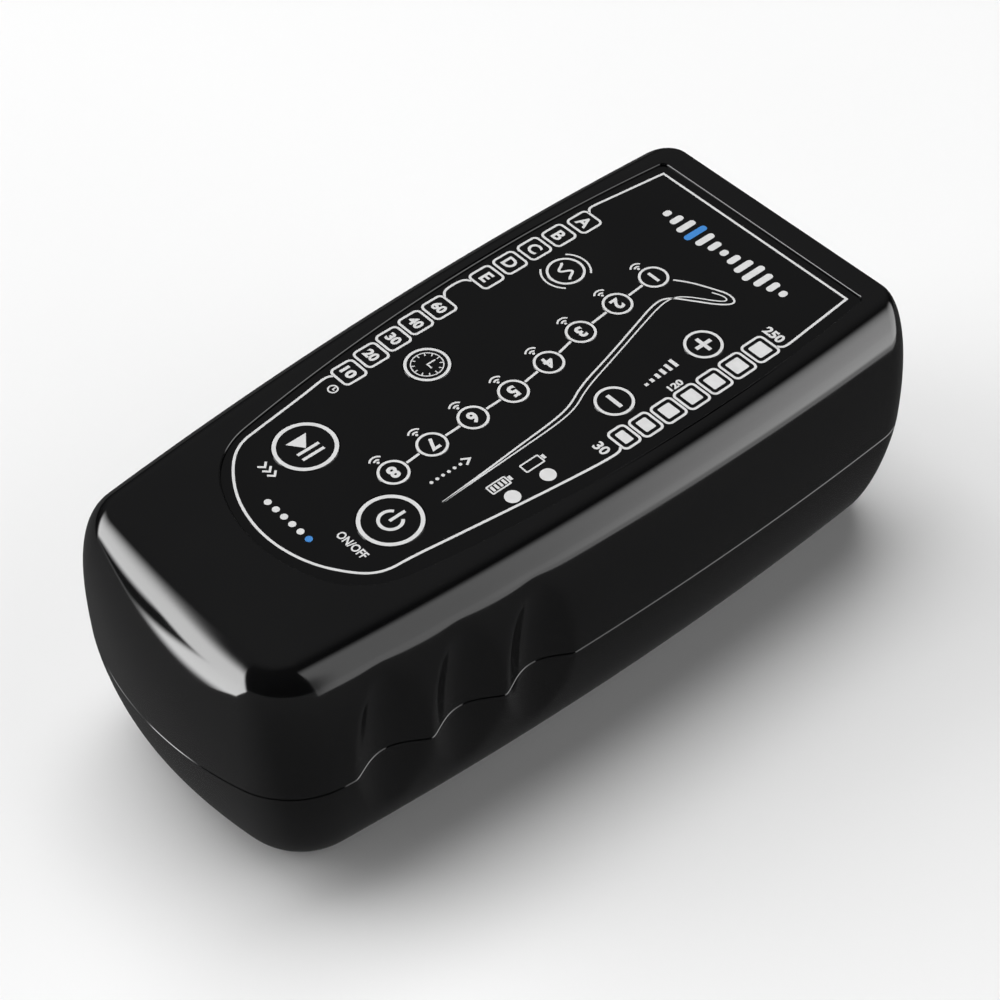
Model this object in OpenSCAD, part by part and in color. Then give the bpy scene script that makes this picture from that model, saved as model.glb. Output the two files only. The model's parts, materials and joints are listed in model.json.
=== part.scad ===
// Air compression therapy pump: a glossy moulded casing with a press-key panel on top,
// eight hose nozzles at the rear, and a battery, diaphragm pump and valves inside.
// Millimetres. The origin is under the centre of the casing, on the surface it stands on.
// +X is the user's right, -Y is the rounded end nearest the user, +Z is up.

/* [Casing] */
// Overall length, rounded end to square end
body_l = 249; // [230:1:280]
// Overall width at the widest point
body_w = 121.6; // [116:0.2:140]
// Overall height with the feet
body_h = 90; // [88:1:100]
// Height of the line where the upper and lower casings meet
seam_z = 45; // [43:1:47]
// Height of the widest level above the surface
girth_z = 47; // [46:1:50]
// Distance of the widest level's broadest point behind the centre
broad_y = 53; // [40:1:60]
// Radius of the long bowed sides, seen from above
side_r = 1240; // [900:10:2000]
// Radius of the bowed user's end at the widest level
front_r = 106; // [90:1:160]
// Wall thickness of both casings
wall = 2.5; // [2:0.1:3]
// Thickness of the deck that carries the key panel
deck_t = 3.6; // [3.2:0.1:4.2]
// Thickness of the floor
floor_t = 3; // [2.5:0.1:4]
// Depth of the small groove that shows as the parting line
reveal = 0.35; // [0.2:0.05:0.6]
// Height of the locating lip on the lower casing
lip_h = 1.6; // [1:0.1:2]

/* [Finger scallops] */
// Number of scallops on each side
scallops = 3; // [1:1:3]
// Distance from one scallop to the next
scallop_pitch = 24.8; // [20:0.2:26]
// Depth of each scallop at the parting line
scallop_d = 5; // [1:0.1:6]
// Distance from the user's end to the first scallop
scallop_start = 30.5; // [28:0.5:34]

/* [Key panel] */
// Depth of the panel's face below the casing's rim
panel_sunk = 0.8; // [0.4:0.1:1]
// Thickness of the panel's sheet
panel_t = 0.5; // [0.3:0.05:0.6]
// Half width of the panel at its broadest point
panel_hw = 45.6; // [45.4:0.1:46.2]
// Gap around the panel in its recess
panel_gap = 0.1; // [0.05:0.01:0.2]
// Radius of the power and start keys
big_key_r = 9.7; // [9:0.1:10]
// Radius of the time key
time_key_r = 7.2; // [6:0.1:8]
// Radius of the mode and pressure keys
mid_key_r = 6.2; // [5:0.1:6.6]
// Radius of the channel keys
small_key_r = 4.9; // [4:0.1:5.2]
// Thickness of a key's cap
key_t = 1; // [0.8:0.1:1.1]
// Travel of a key
key_travel = 0.4; // [0.3:0.05:0.5]
// Gap around a key
key_gap = 0.12; // [0.08:0.01:0.2]
// Radius of a key's stem
stem_r = 2; // [1.5:0.1:2.2]

/* [Control board] */
// Depth of the board's upper face below the deck
board_drop = 8.4; // [7.9:0.1:9.4]
// Thickness of every circuit board
board_t = 1.6; // [1:0.1:2]
// Side of a square light guide
guide_w = 4.6; // [3:0.1:5]
// Radius of a round light guide
guide_r = 2; // [1.5:0.1:2.3]

/* [Pump] */
// Radius of the motor's can
motor_r = 17.9; // [16:0.1:18.5]
// Length of the motor's can
motor_l = 44; // [40:1:46]
// Radius of the pump's housing
pump_r = 21; // [20:0.5:22]
// Height of the pump's axis
pump_z = 30; // [29:0.5:32]
// Radius of the motor's shaft
shaft_r = 1.6; // [1.5:0.1:2]
// Running gap around the shaft
shaft_gap = 0.05; // [0.03:0.01:0.08]

/* [Valves and hose socket] */
// Distance from one hose nozzle to the next, both ways
nozzle_pitch = 14; // [13:0.5:14]
// Outer radius of a hose nozzle
nozzle_r = 2.5; // [2.2:0.1:2.8]
// Radius of the air passage in a hose nozzle
nozzle_bore_r = 1.5; // [1:0.1:1.6]
// Length of a hose nozzle
nozzle_l = 10.5; // [8:0.5:11]
// Depth of the hose socket
socket_d = 12; // [11:0.5:13]
// Side of a valve's square coil
valve_w = 12.6; // [11:0.1:12.8]
// Radius of a valve's plunger
plunger_r = 2.2; // [2:0.1:3]
// Travel of a valve's plunger
plunger_travel = 1; // [0.5:0.1:1.2]

/* [Battery] */
// Radius of a battery cell
cell_r = 9.2; // [9:0.1:9.3]
// Length of a battery cell
cell_l = 65; // [60:0.5:66]

/* [Fasteners and feet] */
// Radius of a casing screw's shank
screw_r = 1.5; // [1.2:0.1:1.7]
// Radius of a casing screw's head
head_r = 2.8; // [2.5:0.1:3]
// Radius of a rubber foot
foot_r = 6.5; // [5:0.1:7]
// Height of the floor's underside above the surface
foot_h = 2; // [1.5:0.1:2.5]

/* [Hidden] */
$fn = 48;

// ---- the casing's outline at any height ----
front_y = -body_l / 2;
rear_y = body_l / 2;
side_drop = [14.3, 13.8];     // how far the sides draw in at the [top, bottom]
front_drop = [19.4, 16];      // how far the user's end draws in
rear_drop = [6.2, 8];         // how far the square end draws in
side_n = 2.39;                // roundness of the upper sides: 2 is an ellipse, more is squarer
front_n = 2.46;
rear_n = 1.6;
low_n = 1.67;                 // roundness of the lower casing
front_corner = [26.2, 5.2, 16];  // corner radius at the [widest level, top, bottom]
rear_corner = [17, 4.2, 8];
flat_r = 20000;               // radius of an end that is nearly straight
front_bow = [1000 / front_r, 1000 / flat_r, 4];  // curvature of the user's end, in 1/m

// Point where two circles cross, the one nearest to a wanted point
function cross_pt(c1, r1, c2, r2, near) =
    let (d = norm(c2 - c1),
         a = (r1 * r1 - r2 * r2 + d * d) / (2 * d),
         h = sqrt(max(0, r1 * r1 - a * a)),
         m = c1 + (c2 - c1) * a / d,
         n = [-(c2 - c1).y, (c2 - c1).x] / d,
         p = m + h * n,
         q = m - h * n)
    norm(p - near) < norm(q - near) ? p : q;
function on_arc(c, r, a) = c + r * [cos(a), sin(a)];
function angle_of(v) = atan2(v.y, v.x);
function drop(q, n) = 1 - pow(max(0, 1 - pow(q, n)), 1 / n);

// Right half of an outline made of a bowed front, a front corner, a bowed side, a rear corner
// and a rear end, from the front centre to the rear centre
function half_outline(hw, yf, yr, y0, rs, rf, cf_r, cr_r, parts) =
    let (cs = [hw - rs, y0],
         cf = [0, yf + rf],
         cr = [0, yr - flat_r],
         a = cross_pt(cs, rs - cf_r, cf, rf - cf_r, [hw - cf_r, yf + cf_r]),
         b = cross_pt(cs, rs - cr_r, cr, flat_r - cr_r, [hw - cr_r, yr - cr_r]),
         a0 = angle_of(a - cf),
         a1 = angle_of(a - cs),
         b0 = angle_of(b - cs),
         b1 = angle_of(b - cr),
         ya = a.y + cf_r * sin(a1),
         yb = b.y + cr_r * sin(b0))
    concat(
        [for (i = [0:parts[0] - 1]) on_arc(cf, rf, -90 + (a0 + 90) * i / parts[0])],
        [for (i = [0:parts[1] - 1]) on_arc(a, cf_r, a0 + (a1 - a0) * i / parts[1])],
        [for (t = side_steps(parts)) let (y = ya + (yb - ya) * t)
            [cs.x + sqrt(rs * rs - (y - y0) * (y - y0)), y]],
        [for (i = [1:parts[4]]) on_arc(b, cr_r, b0 + (b1 - b0) * i / parts[4])],
        [for (i = [1:parts[5]]) on_arc(cr, flat_r, b1 + (90 - b1) * i / parts[5])]);
// Closer steps along the scalloped front part of the side, wider ones behind it
scalloped = 0.42;
function side_steps(parts) = concat(
    [for (i = [0:parts[2] - 1]) scalloped * i / parts[2]],
    [for (i = [0:parts[3]]) scalloped + (1 - scalloped) * i / parts[3]]);
function whole(half) = concat(half, [for (i = [len(half) - 2:-1:1]) [-half[i].x, half[i].y]]);

casing_parts = [5, 7, 24, 6, 6, 2];
top_z = body_h;
low_z = foot_h;
scallop_y = front_y + scallop_start;
scallop_n = 1.1;              // sharpness of the ridges between scallops: 1 is sharp, 2 is a wave
scallop_soft = 0.8;           // softness of the edge where a scallop runs out
scallop_fade = 1.5;           // how fast a scallop runs out: 1 would be a straight upright cut
// Each scallop gets shallower as the side draws in, and runs out above and below.
// y is the place along the side, and drawn is how far the side has drawn in there.
function scallop_in(y, drawn) =
    let (t = (y - scallop_y) / scallop_pitch,
         gone = scallop_fade * drawn,
         d = scallop_d * pow(abs(sin(180 * t)), scallop_n) - gone)
    t <= 0 || t >= scallops ? 0
        : (d + norm([d, scallop_soft]) + gone - norm([gone, scallop_soft])) / 2;
// The casing's outline at height z, moved inwards by d
function casing_ring(z, d) =
    let (up = z >= girth_z,
         q = min(1, up ? (z - girth_z) / (top_z - girth_z) : (girth_z - z) / (girth_z - low_z)),
         s = up ? side_drop[0] * drop(q, side_n) : side_drop[1] * drop(q, low_n),
         f = up ? front_drop[0] * drop(q, front_n) : front_drop[1] * drop(q, low_n),
         r = up ? rear_drop[0] * drop(q, rear_n) : rear_drop[1] * drop(q, low_n),
         k = drop(q, 2),
         e = up ? 1 : 2,
         bow = front_bow[0] + (front_bow[e] - front_bow[0]) * k,
         cf = front_corner[0] + (front_corner[e] - front_corner[0]) * k,
         cr = rear_corner[0] + (rear_corner[e] - rear_corner[0]) * k,
         h = half_outline(body_w / 2 - s - d, front_y + f + d, rear_y - r - d, broad_y,
                          side_r - d, 1000 / bow - d, cf - d, cr - d, casing_parts))
    [for (p = whole(h)) let (c = scallop_in(p.y, s)) [p.x - sign(p.x) * c, p.y, z]];
// Heights that follow the rounding closely, from the widest level to q = 1
function rounded(n, steps) = [for (i = [1:steps]) pow(sin(90 * i / steps), 2 / n)];

// A closed solid through rings of equally many points: the first and last rings are capped
module loft(rings) {
    n = len(rings[0]);
    m = len(rings);
    pts = [for (r = rings) for (p = r) p];
    sides = [for (i = [0:m - 2]) for (j = [0:n - 1]) let (k = (j + 1) % n)
        each [[i * n + j, (i + 1) * n + j, (i + 1) * n + k], [i * n + j, (i + 1) * n + k, i * n + k]]];
    polyhedron(pts, concat(sides, [[for (j = [0:n - 1]) j],
                                   [for (j = [n - 1:-1:0]) (m - 1) * n + j]]));
}

// ---- the key panel ----
panel_front = 41;             // the casing's widest level to the panel, at the user's end
panel_rear = 14.6;            // the same at the square end
panel_y0 = 46.5;
panel_side_r = 600;
panel_end_r = 51;
panel_corner = [26, 2];
panel_parts = [10, 10, 6, 10, 3, 2];
panel_top = top_z - panel_sunk;
panel_low = panel_top - panel_t;
key_low = panel_top - key_t;
pocket_low = key_low - key_travel - 0.2;
deck_low = top_z - deck_t;
module panel_outline(grow) {
    polygon(whole(half_outline(panel_hw + grow, front_y + panel_front - grow,
                               rear_y - panel_rear + grow, panel_y0, panel_side_r + grow,
                               panel_end_r + grow, panel_corner[0] + grow,
                               panel_corner[1] + grow, panel_parts)));
}

// Places on the panel, measured from the printed line across its square end. They are drawn
// for a printed field of length layout_l, and spread along the casing with its own length.
line_in = 3.3;                // the panel's edge to the printed line inside it
print_y = rear_y - panel_rear - line_in;
print_l = print_y - (front_y + panel_front + line_in);
layout_l = 186.8;
function at_print(x, y) = [x, print_y + y * print_l / layout_l];
power_at = at_print(17.3, -157.8);
start_at = at_print(-19.8, -157.9);
time_at = at_print(-22.4, -111.2);
mode_at = at_print(-25.6, -54);
plus_at = at_print(24.4, -45.6);
minus_at = at_print(24.2, -81.1);
channel_at = [for (p = [[-6.2, -36.1], [-4.8, -52.3], [-3.1, -68.7], [0.2, -84.3], [2.3, -99.9],
                        [2.6, -115.4], [3, -130.9], [4.1, -145.8]]) at_print(p.x, p.y)];
keys = concat([[power_at, big_key_r], [start_at, big_key_r], [time_at, time_key_r],
               [mode_at, mid_key_r], [plus_at, mid_key_r], [minus_at, mid_key_r]],
              [for (p = channel_at) [p, small_key_r]]);
mode_lights = [for (p = [[-38.4, -34.5], [-39, -44.5], [-39.4, -54.2], [-39.5, -64],
                         [-39.3, -73.6]]) at_print(p.x, p.y)];
time_lights = [for (p = [[-38.5, -92.9], [-38.1, -102.3], [-37.1, -111.6], [-36.1, -120.8],
                         [-34.8, -130.2]]) at_print(p.x, p.y)];
pressure_lights = [for (p = [[36.9, -34.8], [37.2, -44.6], [37.4, -54.1], [37.5, -63.3],
                             [37.2, -72.2], [36.9, -80.9], [36.4, -88.8]]) at_print(p.x, p.y)];
battery_lights = [at_print(33, -114.5), at_print(32.7, -127.3)];
square_lights = concat(mode_lights, time_lights, pressure_lights);
guide_gap = 0.2;

// ---- the control board hangs from the deck ----
board_z = deck_low - board_drop;
board_hw = panel_hw - 2.6;
board_y = [at_print(0, -174.6).y, at_print(0, -26.6).y];
board_low = board_z - board_t;
standoffs = [for (p = [[-22, -30.6], [22, -30.6], [-30.5, -93.6], [29, -96.6], [-36, -151.6],
                       [34, -151.6]]) at_print(p.x, p.y)];
standoff_r = 3;
pilot_r = 1.1;
board_bite = 5;               // length of the screws' thread in the standoffs
switch_w = 6;
switch_h = 3.5;
tip_r = 1.6;
tip_gap = 0.05;
stem_low = board_z + switch_h + 1.2;
led_w = 2.4;
led_h = 1;
guide_low = board_z + led_h + 0.3;

// ---- battery: two layers of three cells across the casing ----
cell_pitch = 2 * cell_r + 0.6;
cell_y = [for (i = [0:2]) -81 + i * cell_pitch];
cell_z = [for (i = [0:1]) low_z + floor_t + 1.5 + cell_r + i * cell_pitch];
holder_t = 3.5;               // thickness of the end plates that the cells sit in
holder_wall = 1.2;            // wall outside the outermost cells
cell_gap = 0.15;
nub_r = 3;                    // the cell's positive end
nub_l = 1;

// ---- screws that hold the casing together, from below ----
front_post_y = cell_y[0] - cell_r - 7.8;
rear_post_y = rear_y - 38.5;
posts = [[-26, front_post_y], [26, front_post_y], at_print(-40, -83.1), at_print(40, -103.6),
         [-41, rear_post_y], [41, rear_post_y]];
post_r = 4;
boss_r = 5.2;
boss_gap = 0.2;
seat_z = seam_z - 9;
bite = 9;
feet = [for (x = [-29, 29]) for (y = [front_y + 40.5, rear_y - 24.5]) [x, y]];
foot_seat = 0.8;

// ---- hose socket, manifold and valves, from the square end inwards ----
socket_x = -7;
socket_wall = 2;
socket_w = 3 * nozzle_pitch + 2 * nozzle_r + 13;
socket_h = nozzle_pitch + 2 * nozzle_r + 9;
socket_z = seam_z;
socket_y = rear_y - 2;
socket_back = 5;
shank_r = nozzle_r + 0.6;     // the nozzle's seat in the socket's back wall
fit_gap = 0.15;
flange = 2;
flange_t = 2.5;
manifold_d = 12;
manifold_y = socket_y - socket_d - socket_back - manifold_d;
valve_l = 20;
valve_y = manifold_y - valve_l;
valve_bore_l = 14;
nozzle_xz = [for (row = [-0.5, 0.5]) for (col = [-1.5:1:1.5])
    [socket_x + col * nozzle_pitch, socket_z + row * nozzle_pitch]];
jack_x = 37;
jack_z = 36;
jack_w = 9;
jack_l = 13;
jack_r = 3;
jack_pin_r = 1;
jack_depth = 9.5;
jack_y = rear_y - wall - 1.8;
power_board_w = 14;
power_board_l = 25;
power_board_in = 6;           // its rear edge from the square end

// ---- the pump, along the Y axis from the head towards the motor ----
pump_y = -30;                 // the head's end nearest the user
head_l = 9;
plate_l = 4;
sheet_l = 2;
case_l = 24;
sheet_y = pump_y + head_l + plate_l;
case_y = sheet_y + sheet_l;
motor_y = case_y + case_l;
can_t = 1.5;                  // wall of the motor's can
magnet_t = 3.5;
magnet_in = 5;                // the can's front to the magnets
rotor_gap = 0.5;
shaft_out = 9;                // the shaft's end beyond the can
cap_l = 4;
cradle_w = 9;
cradle_y = [case_y + 4, motor_y + motor_l - cradle_w - 3];
wobble_y = case_y + 9;        // the wobble plate's pivot
pump_bite = 5;                // length of the screws' thread in the crankcase
crank = 2.4;                  // the drive pin's distance from the shaft's axis
drive_pin_r = 1;
chambers = [90, 210, 330];
chamber_r = 10.5;

// ---- air grille in the floor, in front of the cradle's rear block ----
slot_w = 2;
slot_pitch = 4.5;
slot_l = 22;
filter_margin = 3;
filter_gap = 2;
filter_t = 2.5;
slot_y = cradle_y[1] - filter_gap - filter_margin - slot_l;

module at_xy(p, z) { translate([p.x, p.y, z]) children(); }
module at_y(x, y, z) { translate([x, y, z]) rotate([-90, 0, 0]) children(); }
module box_at(low, size) { translate(low) cube(size); }
module square_post(p, w, z, h) { translate([p.x - w / 2, p.y - w / 2, z]) cube([w, w, h]); }

// ---- casings ----
upper_q = rounded((side_n + front_n) / 2, 12);
lower_q = rounded(low_n, 9);
module upper_shell() {
    lip_top = seam_z + lip_h + boss_gap;
    loft(concat(
        [for (a = [90:-90 / 7:0]) casing_ring(lip_top + (deck_low - lip_top) * sin(a), wall)],
        [casing_ring(lip_top, wall / 2 - fit_gap / 2),
         casing_ring(seam_z, wall / 2 - fit_gap / 2),
         casing_ring(seam_z, reveal),
         casing_ring(seam_z + reveal, 0)],
        [for (q = upper_q) casing_ring(girth_z + q * (top_z - girth_z), 0)]));
}
module lower_shell() {
    floor_z = low_z + floor_t;
    loft(concat(
        [for (i = [len(lower_q) - 1:-1:1]) casing_ring(girth_z - lower_q[i] * (girth_z - low_z), 0)],
        [casing_ring(seam_z - reveal, 0),
         casing_ring(seam_z, reveal),
         casing_ring(seam_z, wall / 2 + fit_gap / 2),
         casing_ring(seam_z + lip_h, wall / 2 + fit_gap / 2),
         casing_ring(seam_z + lip_h, wall)],
        [for (i = [7:-1:0]) casing_ring(floor_z + (seam_z - floor_z) * pow(i / 7, 1.6), wall)]));
}
module socket_notch() {
    socket_block(fit_gap, rear_y - wall - 6, wall + 10);
}

module upper_casing() {
    color([0.05, 0.05, 0.06])
    difference() {
        union() {
            upper_shell();
            for (p = posts) at_xy(p, seam_z + boss_gap)
                cylinder(r = post_r, h = deck_low + 0.5 - seam_z - boss_gap);
            for (p = standoffs) at_xy(p, board_z)
                cylinder(r = standoff_r, h = deck_low + 0.5 - board_z);
        }
        translate([0, 0, panel_low]) linear_extrude(panel_sunk + panel_t + 1) panel_outline(panel_gap);
        for (k = keys) {
            at_xy(k[0], pocket_low) cylinder(r = k[1] + key_gap + 0.2, h = deck_t);
            at_xy(k[0], deck_low - 1) cylinder(r = stem_r + 0.3, h = deck_t);
        }
        for (p = square_lights) square_post(p, guide_w + 2 * guide_gap, deck_low - 1, deck_t + 1);
        for (p = battery_lights) at_xy(p, deck_low - 1) cylinder(r = guide_r + guide_gap, h = deck_t + 1);
        for (p = posts) at_xy(p, seam_z) cylinder(r = screw_r - 0.2, h = bite + 4);
        for (p = standoffs) at_xy(p, board_z - 1) cylinder(r = pilot_r, h = board_bite + 1);
        socket_notch();
    }
}

module lower_casing() {
    color([0.05, 0.05, 0.06])
    difference() {
        union() {
            lower_shell();
            for (p = posts) at_xy(p, low_z + 0.5) cylinder(r = boss_r, h = seam_z - low_z - 0.5);
        }
        for (p = posts) {
            at_xy(p, low_z - 1) cylinder(r = head_r + 0.4, h = seat_z - low_z + 1);
            at_xy(p, low_z) cylinder(r = screw_r + 0.2, h = seam_z);
        }
        for (p = feet) at_xy(p, low_z - 1) cylinder(r = foot_r + 0.1, h = 1 + foot_seat);
        for (i = [-3.5:3.5]) box_at([i * slot_pitch - slot_w / 2, slot_y, low_z - 1],
                                    [slot_w, slot_l, floor_t + 2]);
        at_y(jack_x, rear_y - 14, jack_z) cylinder(r = jack_r + 0.8, h = 20);
        socket_notch();
    }
}

// ---- key panel and keys ----
module key_panel() {
    color([0.02, 0.02, 0.025])
    translate([0, 0, panel_low])
    difference() {
        linear_extrude(panel_t) panel_outline(0);
        for (k = keys) at_xy(k[0], -1) cylinder(r = k[1] + key_gap, h = panel_t + 2, $fn = 96);
    }
}
module key(k) {
    color([0.02, 0.02, 0.025]) {
        at_xy(k[0], key_low) cylinder(r = k[1], h = key_t, $fn = 96);
        at_xy(k[0], stem_low) cylinder(r = stem_r, h = key_low - stem_low + 0.01);
    }
}

// ---- control board ----
module board_holes(points, r) { for (p = points) translate(p) circle(r = r); }
module control_board() {
    color([0.05, 0.3, 0.15])
    translate([0, 0, board_low]) linear_extrude(board_t) difference() {
        translate([-board_hw, board_y[0]]) square([2 * board_hw, board_y[1] - board_y[0]]);
        board_holes(standoffs, pilot_r + 0.1);
        board_holes(posts, post_r + 1);
    }
}
module key_switches() {
    color([0.15, 0.15, 0.17])
    for (k = keys) {
        square_post(k[0], switch_w, board_z, switch_h);
        at_xy(k[0], board_z + switch_h - 0.01)
            cylinder(r = tip_r, h = stem_low - key_travel - tip_gap - board_z - switch_h);
    }
}
module indicator_leds() {
    color([0.9, 0.95, 0.9])
    for (p = concat(square_lights, battery_lights)) square_post(p, led_w, board_z, led_h);
}
module square_guides(points) {
    color([0.9, 0.9, 0.92])
    for (p = points) square_post(p, guide_w, guide_low, panel_low - guide_low);
}
module battery_light_guides() {
    color([0.9, 0.9, 0.92])
    for (p = battery_lights) at_xy(p, guide_low) cylinder(r = guide_r, h = panel_low - guide_low);
}
module mode_light_guides() { square_guides(mode_lights); }
module time_light_guides() { square_guides(time_lights); }
module pressure_light_guides() { square_guides(pressure_lights); }
module screw(r, rh, l, hh) {
    cylinder(r = rh, h = hh);
    translate([0, 0, hh - 0.01]) cylinder(r = r, h = l);
}
module board_screws() {
    color("silver")
    for (p = standoffs) at_xy(p, board_low - 1.2) screw(pilot_r - 0.02, 2.4, board_t + board_bite, 1.2);
}

// ---- battery ----
module battery_cells() {
    color([0.15, 0.3, 0.6])
    for (y = cell_y) for (z = cell_z) translate([-cell_l / 2, y, z]) rotate([0, 90, 0]) {
        cylinder(r = cell_r, h = cell_l - nub_l);
        translate([0, 0, cell_l - nub_l - 0.01]) cylinder(r = nub_r, h = nub_l + 0.01);
    }
}
module battery_holder() {
    y0 = cell_y[0] - cell_r - holder_wall;
    y1 = cell_y[2] + cell_r + holder_wall;
    z0 = low_z + floor_t;
    z1 = cell_z[1] + cell_r + holder_wall;
    color([0.1, 0.1, 0.11])
    difference() {
        union() {
            for (s = [-1, 1]) box_at([s * (cell_l / 2 + holder_t / 2 - 1.5) - holder_t / 2, y0, z0],
                                     [holder_t, y1 - y0, z1 - z0]);
            for (y = [y0, y1 - 1]) box_at([-cell_l / 2, y, z0], [cell_l, 1, 8]);
        }
        for (y = cell_y) for (z = cell_z) translate([-cell_l / 2 - 0.2, y, z]) rotate([0, 90, 0])
            cylinder(r = cell_r + cell_gap, h = cell_l + 0.4);
    }
}

// ---- pump ----
module pump_motor() {
    color("silver")
    difference() {
        at_y(0, motor_y, pump_z) cylinder(r = motor_r, h = motor_l);
        at_y(0, motor_y + 2.5, pump_z) cylinder(r = motor_r - can_t, h = motor_l);
        at_y(0, motor_y - 1, pump_z) cylinder(r = shaft_r + shaft_gap, h = 5);
    }
}
module motor_magnets() {
    color([0.25, 0.25, 0.26])
    difference() {
        at_y(0, motor_y + magnet_in, pump_z)
            cylinder(r = motor_r - can_t, h = motor_l - 2 * magnet_in);
        at_y(0, motor_y, pump_z) cylinder(r = motor_r - can_t - magnet_t, h = motor_l);
        box_at([-2, motor_y, pump_z - motor_r], [4, motor_l, 2 * motor_r]);
    }
}
module motor_rotor() {
    color([0.7, 0.4, 0.2])
    difference() {
        at_y(0, motor_y + magnet_in + 1, pump_z)
            cylinder(r = motor_r - can_t - magnet_t - rotor_gap, h = motor_l - 2 * magnet_in - 2);
        at_y(0, motor_y, pump_z) cylinder(r = shaft_r, h = motor_l);
    }
}
module motor_end_cap() {
    color([0.1, 0.1, 0.1])
    difference() {
        union() {
            at_y(0, motor_y + motor_l, pump_z) cylinder(r = motor_r - 1, h = cap_l);
            for (x = [-9, 9]) box_at([x - 1.5, motor_y + motor_l + cap_l - 0.5, pump_z - 0.25],
                                     [3, 5.5, 0.5]);
        }
        at_y(0, motor_y + motor_l - 1, pump_z) cylinder(r = shaft_r + shaft_gap, h = 3);
    }
}
module motor_shaft() {
    color("silver")
    at_y(0, motor_y - shaft_out, pump_z) cylinder(r = shaft_r, h = motor_l + shaft_out + 1.5);
}
module drive_eccentric() {
    color([0.8, 0.8, 0.75])
    difference() {
        union() {
            at_y(0, motor_y - shaft_out, pump_z) cylinder(r = 6, h = 5);
            at_y(crank, motor_y - shaft_out - 5, pump_z) cylinder(r = drive_pin_r, h = 5.5);
        }
        at_y(0, motor_y - shaft_out - 0.5, pump_z) cylinder(r = shaft_r, h = 8);
    }
}
module pump_crankcase() {
    color([0.12, 0.12, 0.13])
    difference() {
        at_y(0, case_y, pump_z) cylinder(r = pump_r, h = case_l);
        at_y(0, case_y - 1, pump_z) cylinder(r = pump_r - 2.5, h = case_l - 2);
        at_y(0, case_y, pump_z) cylinder(r = 4, h = case_l + 1);
        pump_screw_holes(pilot_r, case_y + pump_bite + 2);
    }
}
module at_chambers(y) {
    for (a = chambers) at_y(chamber_r * cos(a), y, pump_z + chamber_r * sin(a)) children();
}
module wobble_plate() {
    color([0.75, 0.75, 0.7])
    difference() {
        union() {
            at_y(0, wobble_y - 1.5, pump_z) cylinder(r = 14, h = 3);
            at_y(0, wobble_y + 1, pump_z) cylinder(r = 5.5, h = 4.5);
            at_chambers(sheet_y + sheet_l + 2.1) cylinder(r = 2, h = wobble_y - sheet_y - sheet_l - 3);
        }
        at_y(0, wobble_y, pump_z) cylinder(r = crank + drive_pin_r + 0.6, h = 8);
    }
}
module pump_diaphragms() {
    color([0.1, 0.1, 0.1])
    union() {
        at_y(0, sheet_y, pump_z) cylinder(r = pump_r - 4.2, h = sheet_l);
        at_chambers(sheet_y + sheet_l - 0.01) cylinder(r = 2.2, h = 1.2);
    }
}
module pump_valve_plate() {
    color([0.85, 0.85, 0.8])
    difference() {
        at_y(0, pump_y + head_l, pump_z) cylinder(r = pump_r, h = plate_l);
        at_chambers(pump_y + head_l + 1.5) cylinder(r = 4.5, h = plate_l);
        pump_screw_holes(pilot_r + 0.1, case_y);
    }
}
// Four long screws hold the head, the valve plate and the crankcase together
module at_pump_screws(y) {
    for (a = [45:90:315]) at_y((pump_r - 2.6) * cos(a), y, pump_z + (pump_r - 2.6) * sin(a)) children();
}
module pump_screw_holes(r, end_y) { at_pump_screws(pump_y - 1) cylinder(r = r, h = end_y - pump_y + 1); }
module pump_head() {
    color([0.12, 0.12, 0.13])
    difference() {
        union() {
            at_y(0, pump_y, pump_z) cylinder(r = pump_r, h = head_l);
            translate([0, pump_y + head_l / 2, pump_z + pump_r - 3])
                cylinder(r = spigot_r, h = tube_z - tube_bend - pump_z - pump_r + 2.7);
        }
        at_y(0, pump_y + 2, pump_z) cylinder(r = pump_r - 6, h = head_l);
        translate([0, pump_y + head_l / 2, pump_z + 10]) cylinder(r = spigot_bore_r, h = 40);
        pump_screw_holes(pilot_r + 0.1, case_y);
    }
}
module pump_screws() {
    color("silver")
    at_pump_screws(pump_y - 1.5) screw(pilot_r - 0.02, 2, head_l + plate_l + sheet_l + pump_bite,
                                        1.5);
}
module pump_cradle() {
    color([0.2, 0.2, 0.2])
    difference() {
        for (y = cradle_y)
            box_at([-pump_r - 3, y, low_z + floor_t], [2 * pump_r + 6, cradle_w, 15]);
        at_y(0, case_y, pump_z) cylinder(r = pump_r + 0.1, h = case_l);
        at_y(0, motor_y, pump_z) cylinder(r = motor_r + 0.1, h = motor_l);
    }
}

// The air tube rises from the pump's head, bends once and runs over the valves
tube_r = 4;
tube_bore = 2.55;
tube_bend = 8;
spigot_r = 2.5;
spigot_bore_r = 1.3;
valve_top = socket_z + nozzle_pitch / 2 + valve_w / 2;
tube_z = max(valve_top + tube_r + 1, pump_z + pump_r + tube_bend + 4.3);
inlet_y = manifold_y + manifold_d / 2;
module tube_ring() {
    difference() {
        circle(r = tube_r);
        circle(r = tube_bore);
    }
}
module pump_tube() {
    y0 = pump_y + head_l / 2;
    z0 = pump_z + pump_r + 1;
    color([0.7, 0.72, 0.7, 0.8]) {
        translate([0, y0, z0]) linear_extrude(tube_z - tube_bend - z0 + 0.01) tube_ring();
        translate([0, y0 + tube_bend, tube_z - tube_bend]) rotate([90, 0, 90]) rotate([0, 0, 90])
            rotate_extrude(angle = 90) translate([tube_bend, 0]) tube_ring();
        at_y(0, y0 + tube_bend - 0.01, tube_z)
            linear_extrude(manifold_y - 0.5 - y0 - tube_bend) tube_ring();
    }
}

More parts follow.
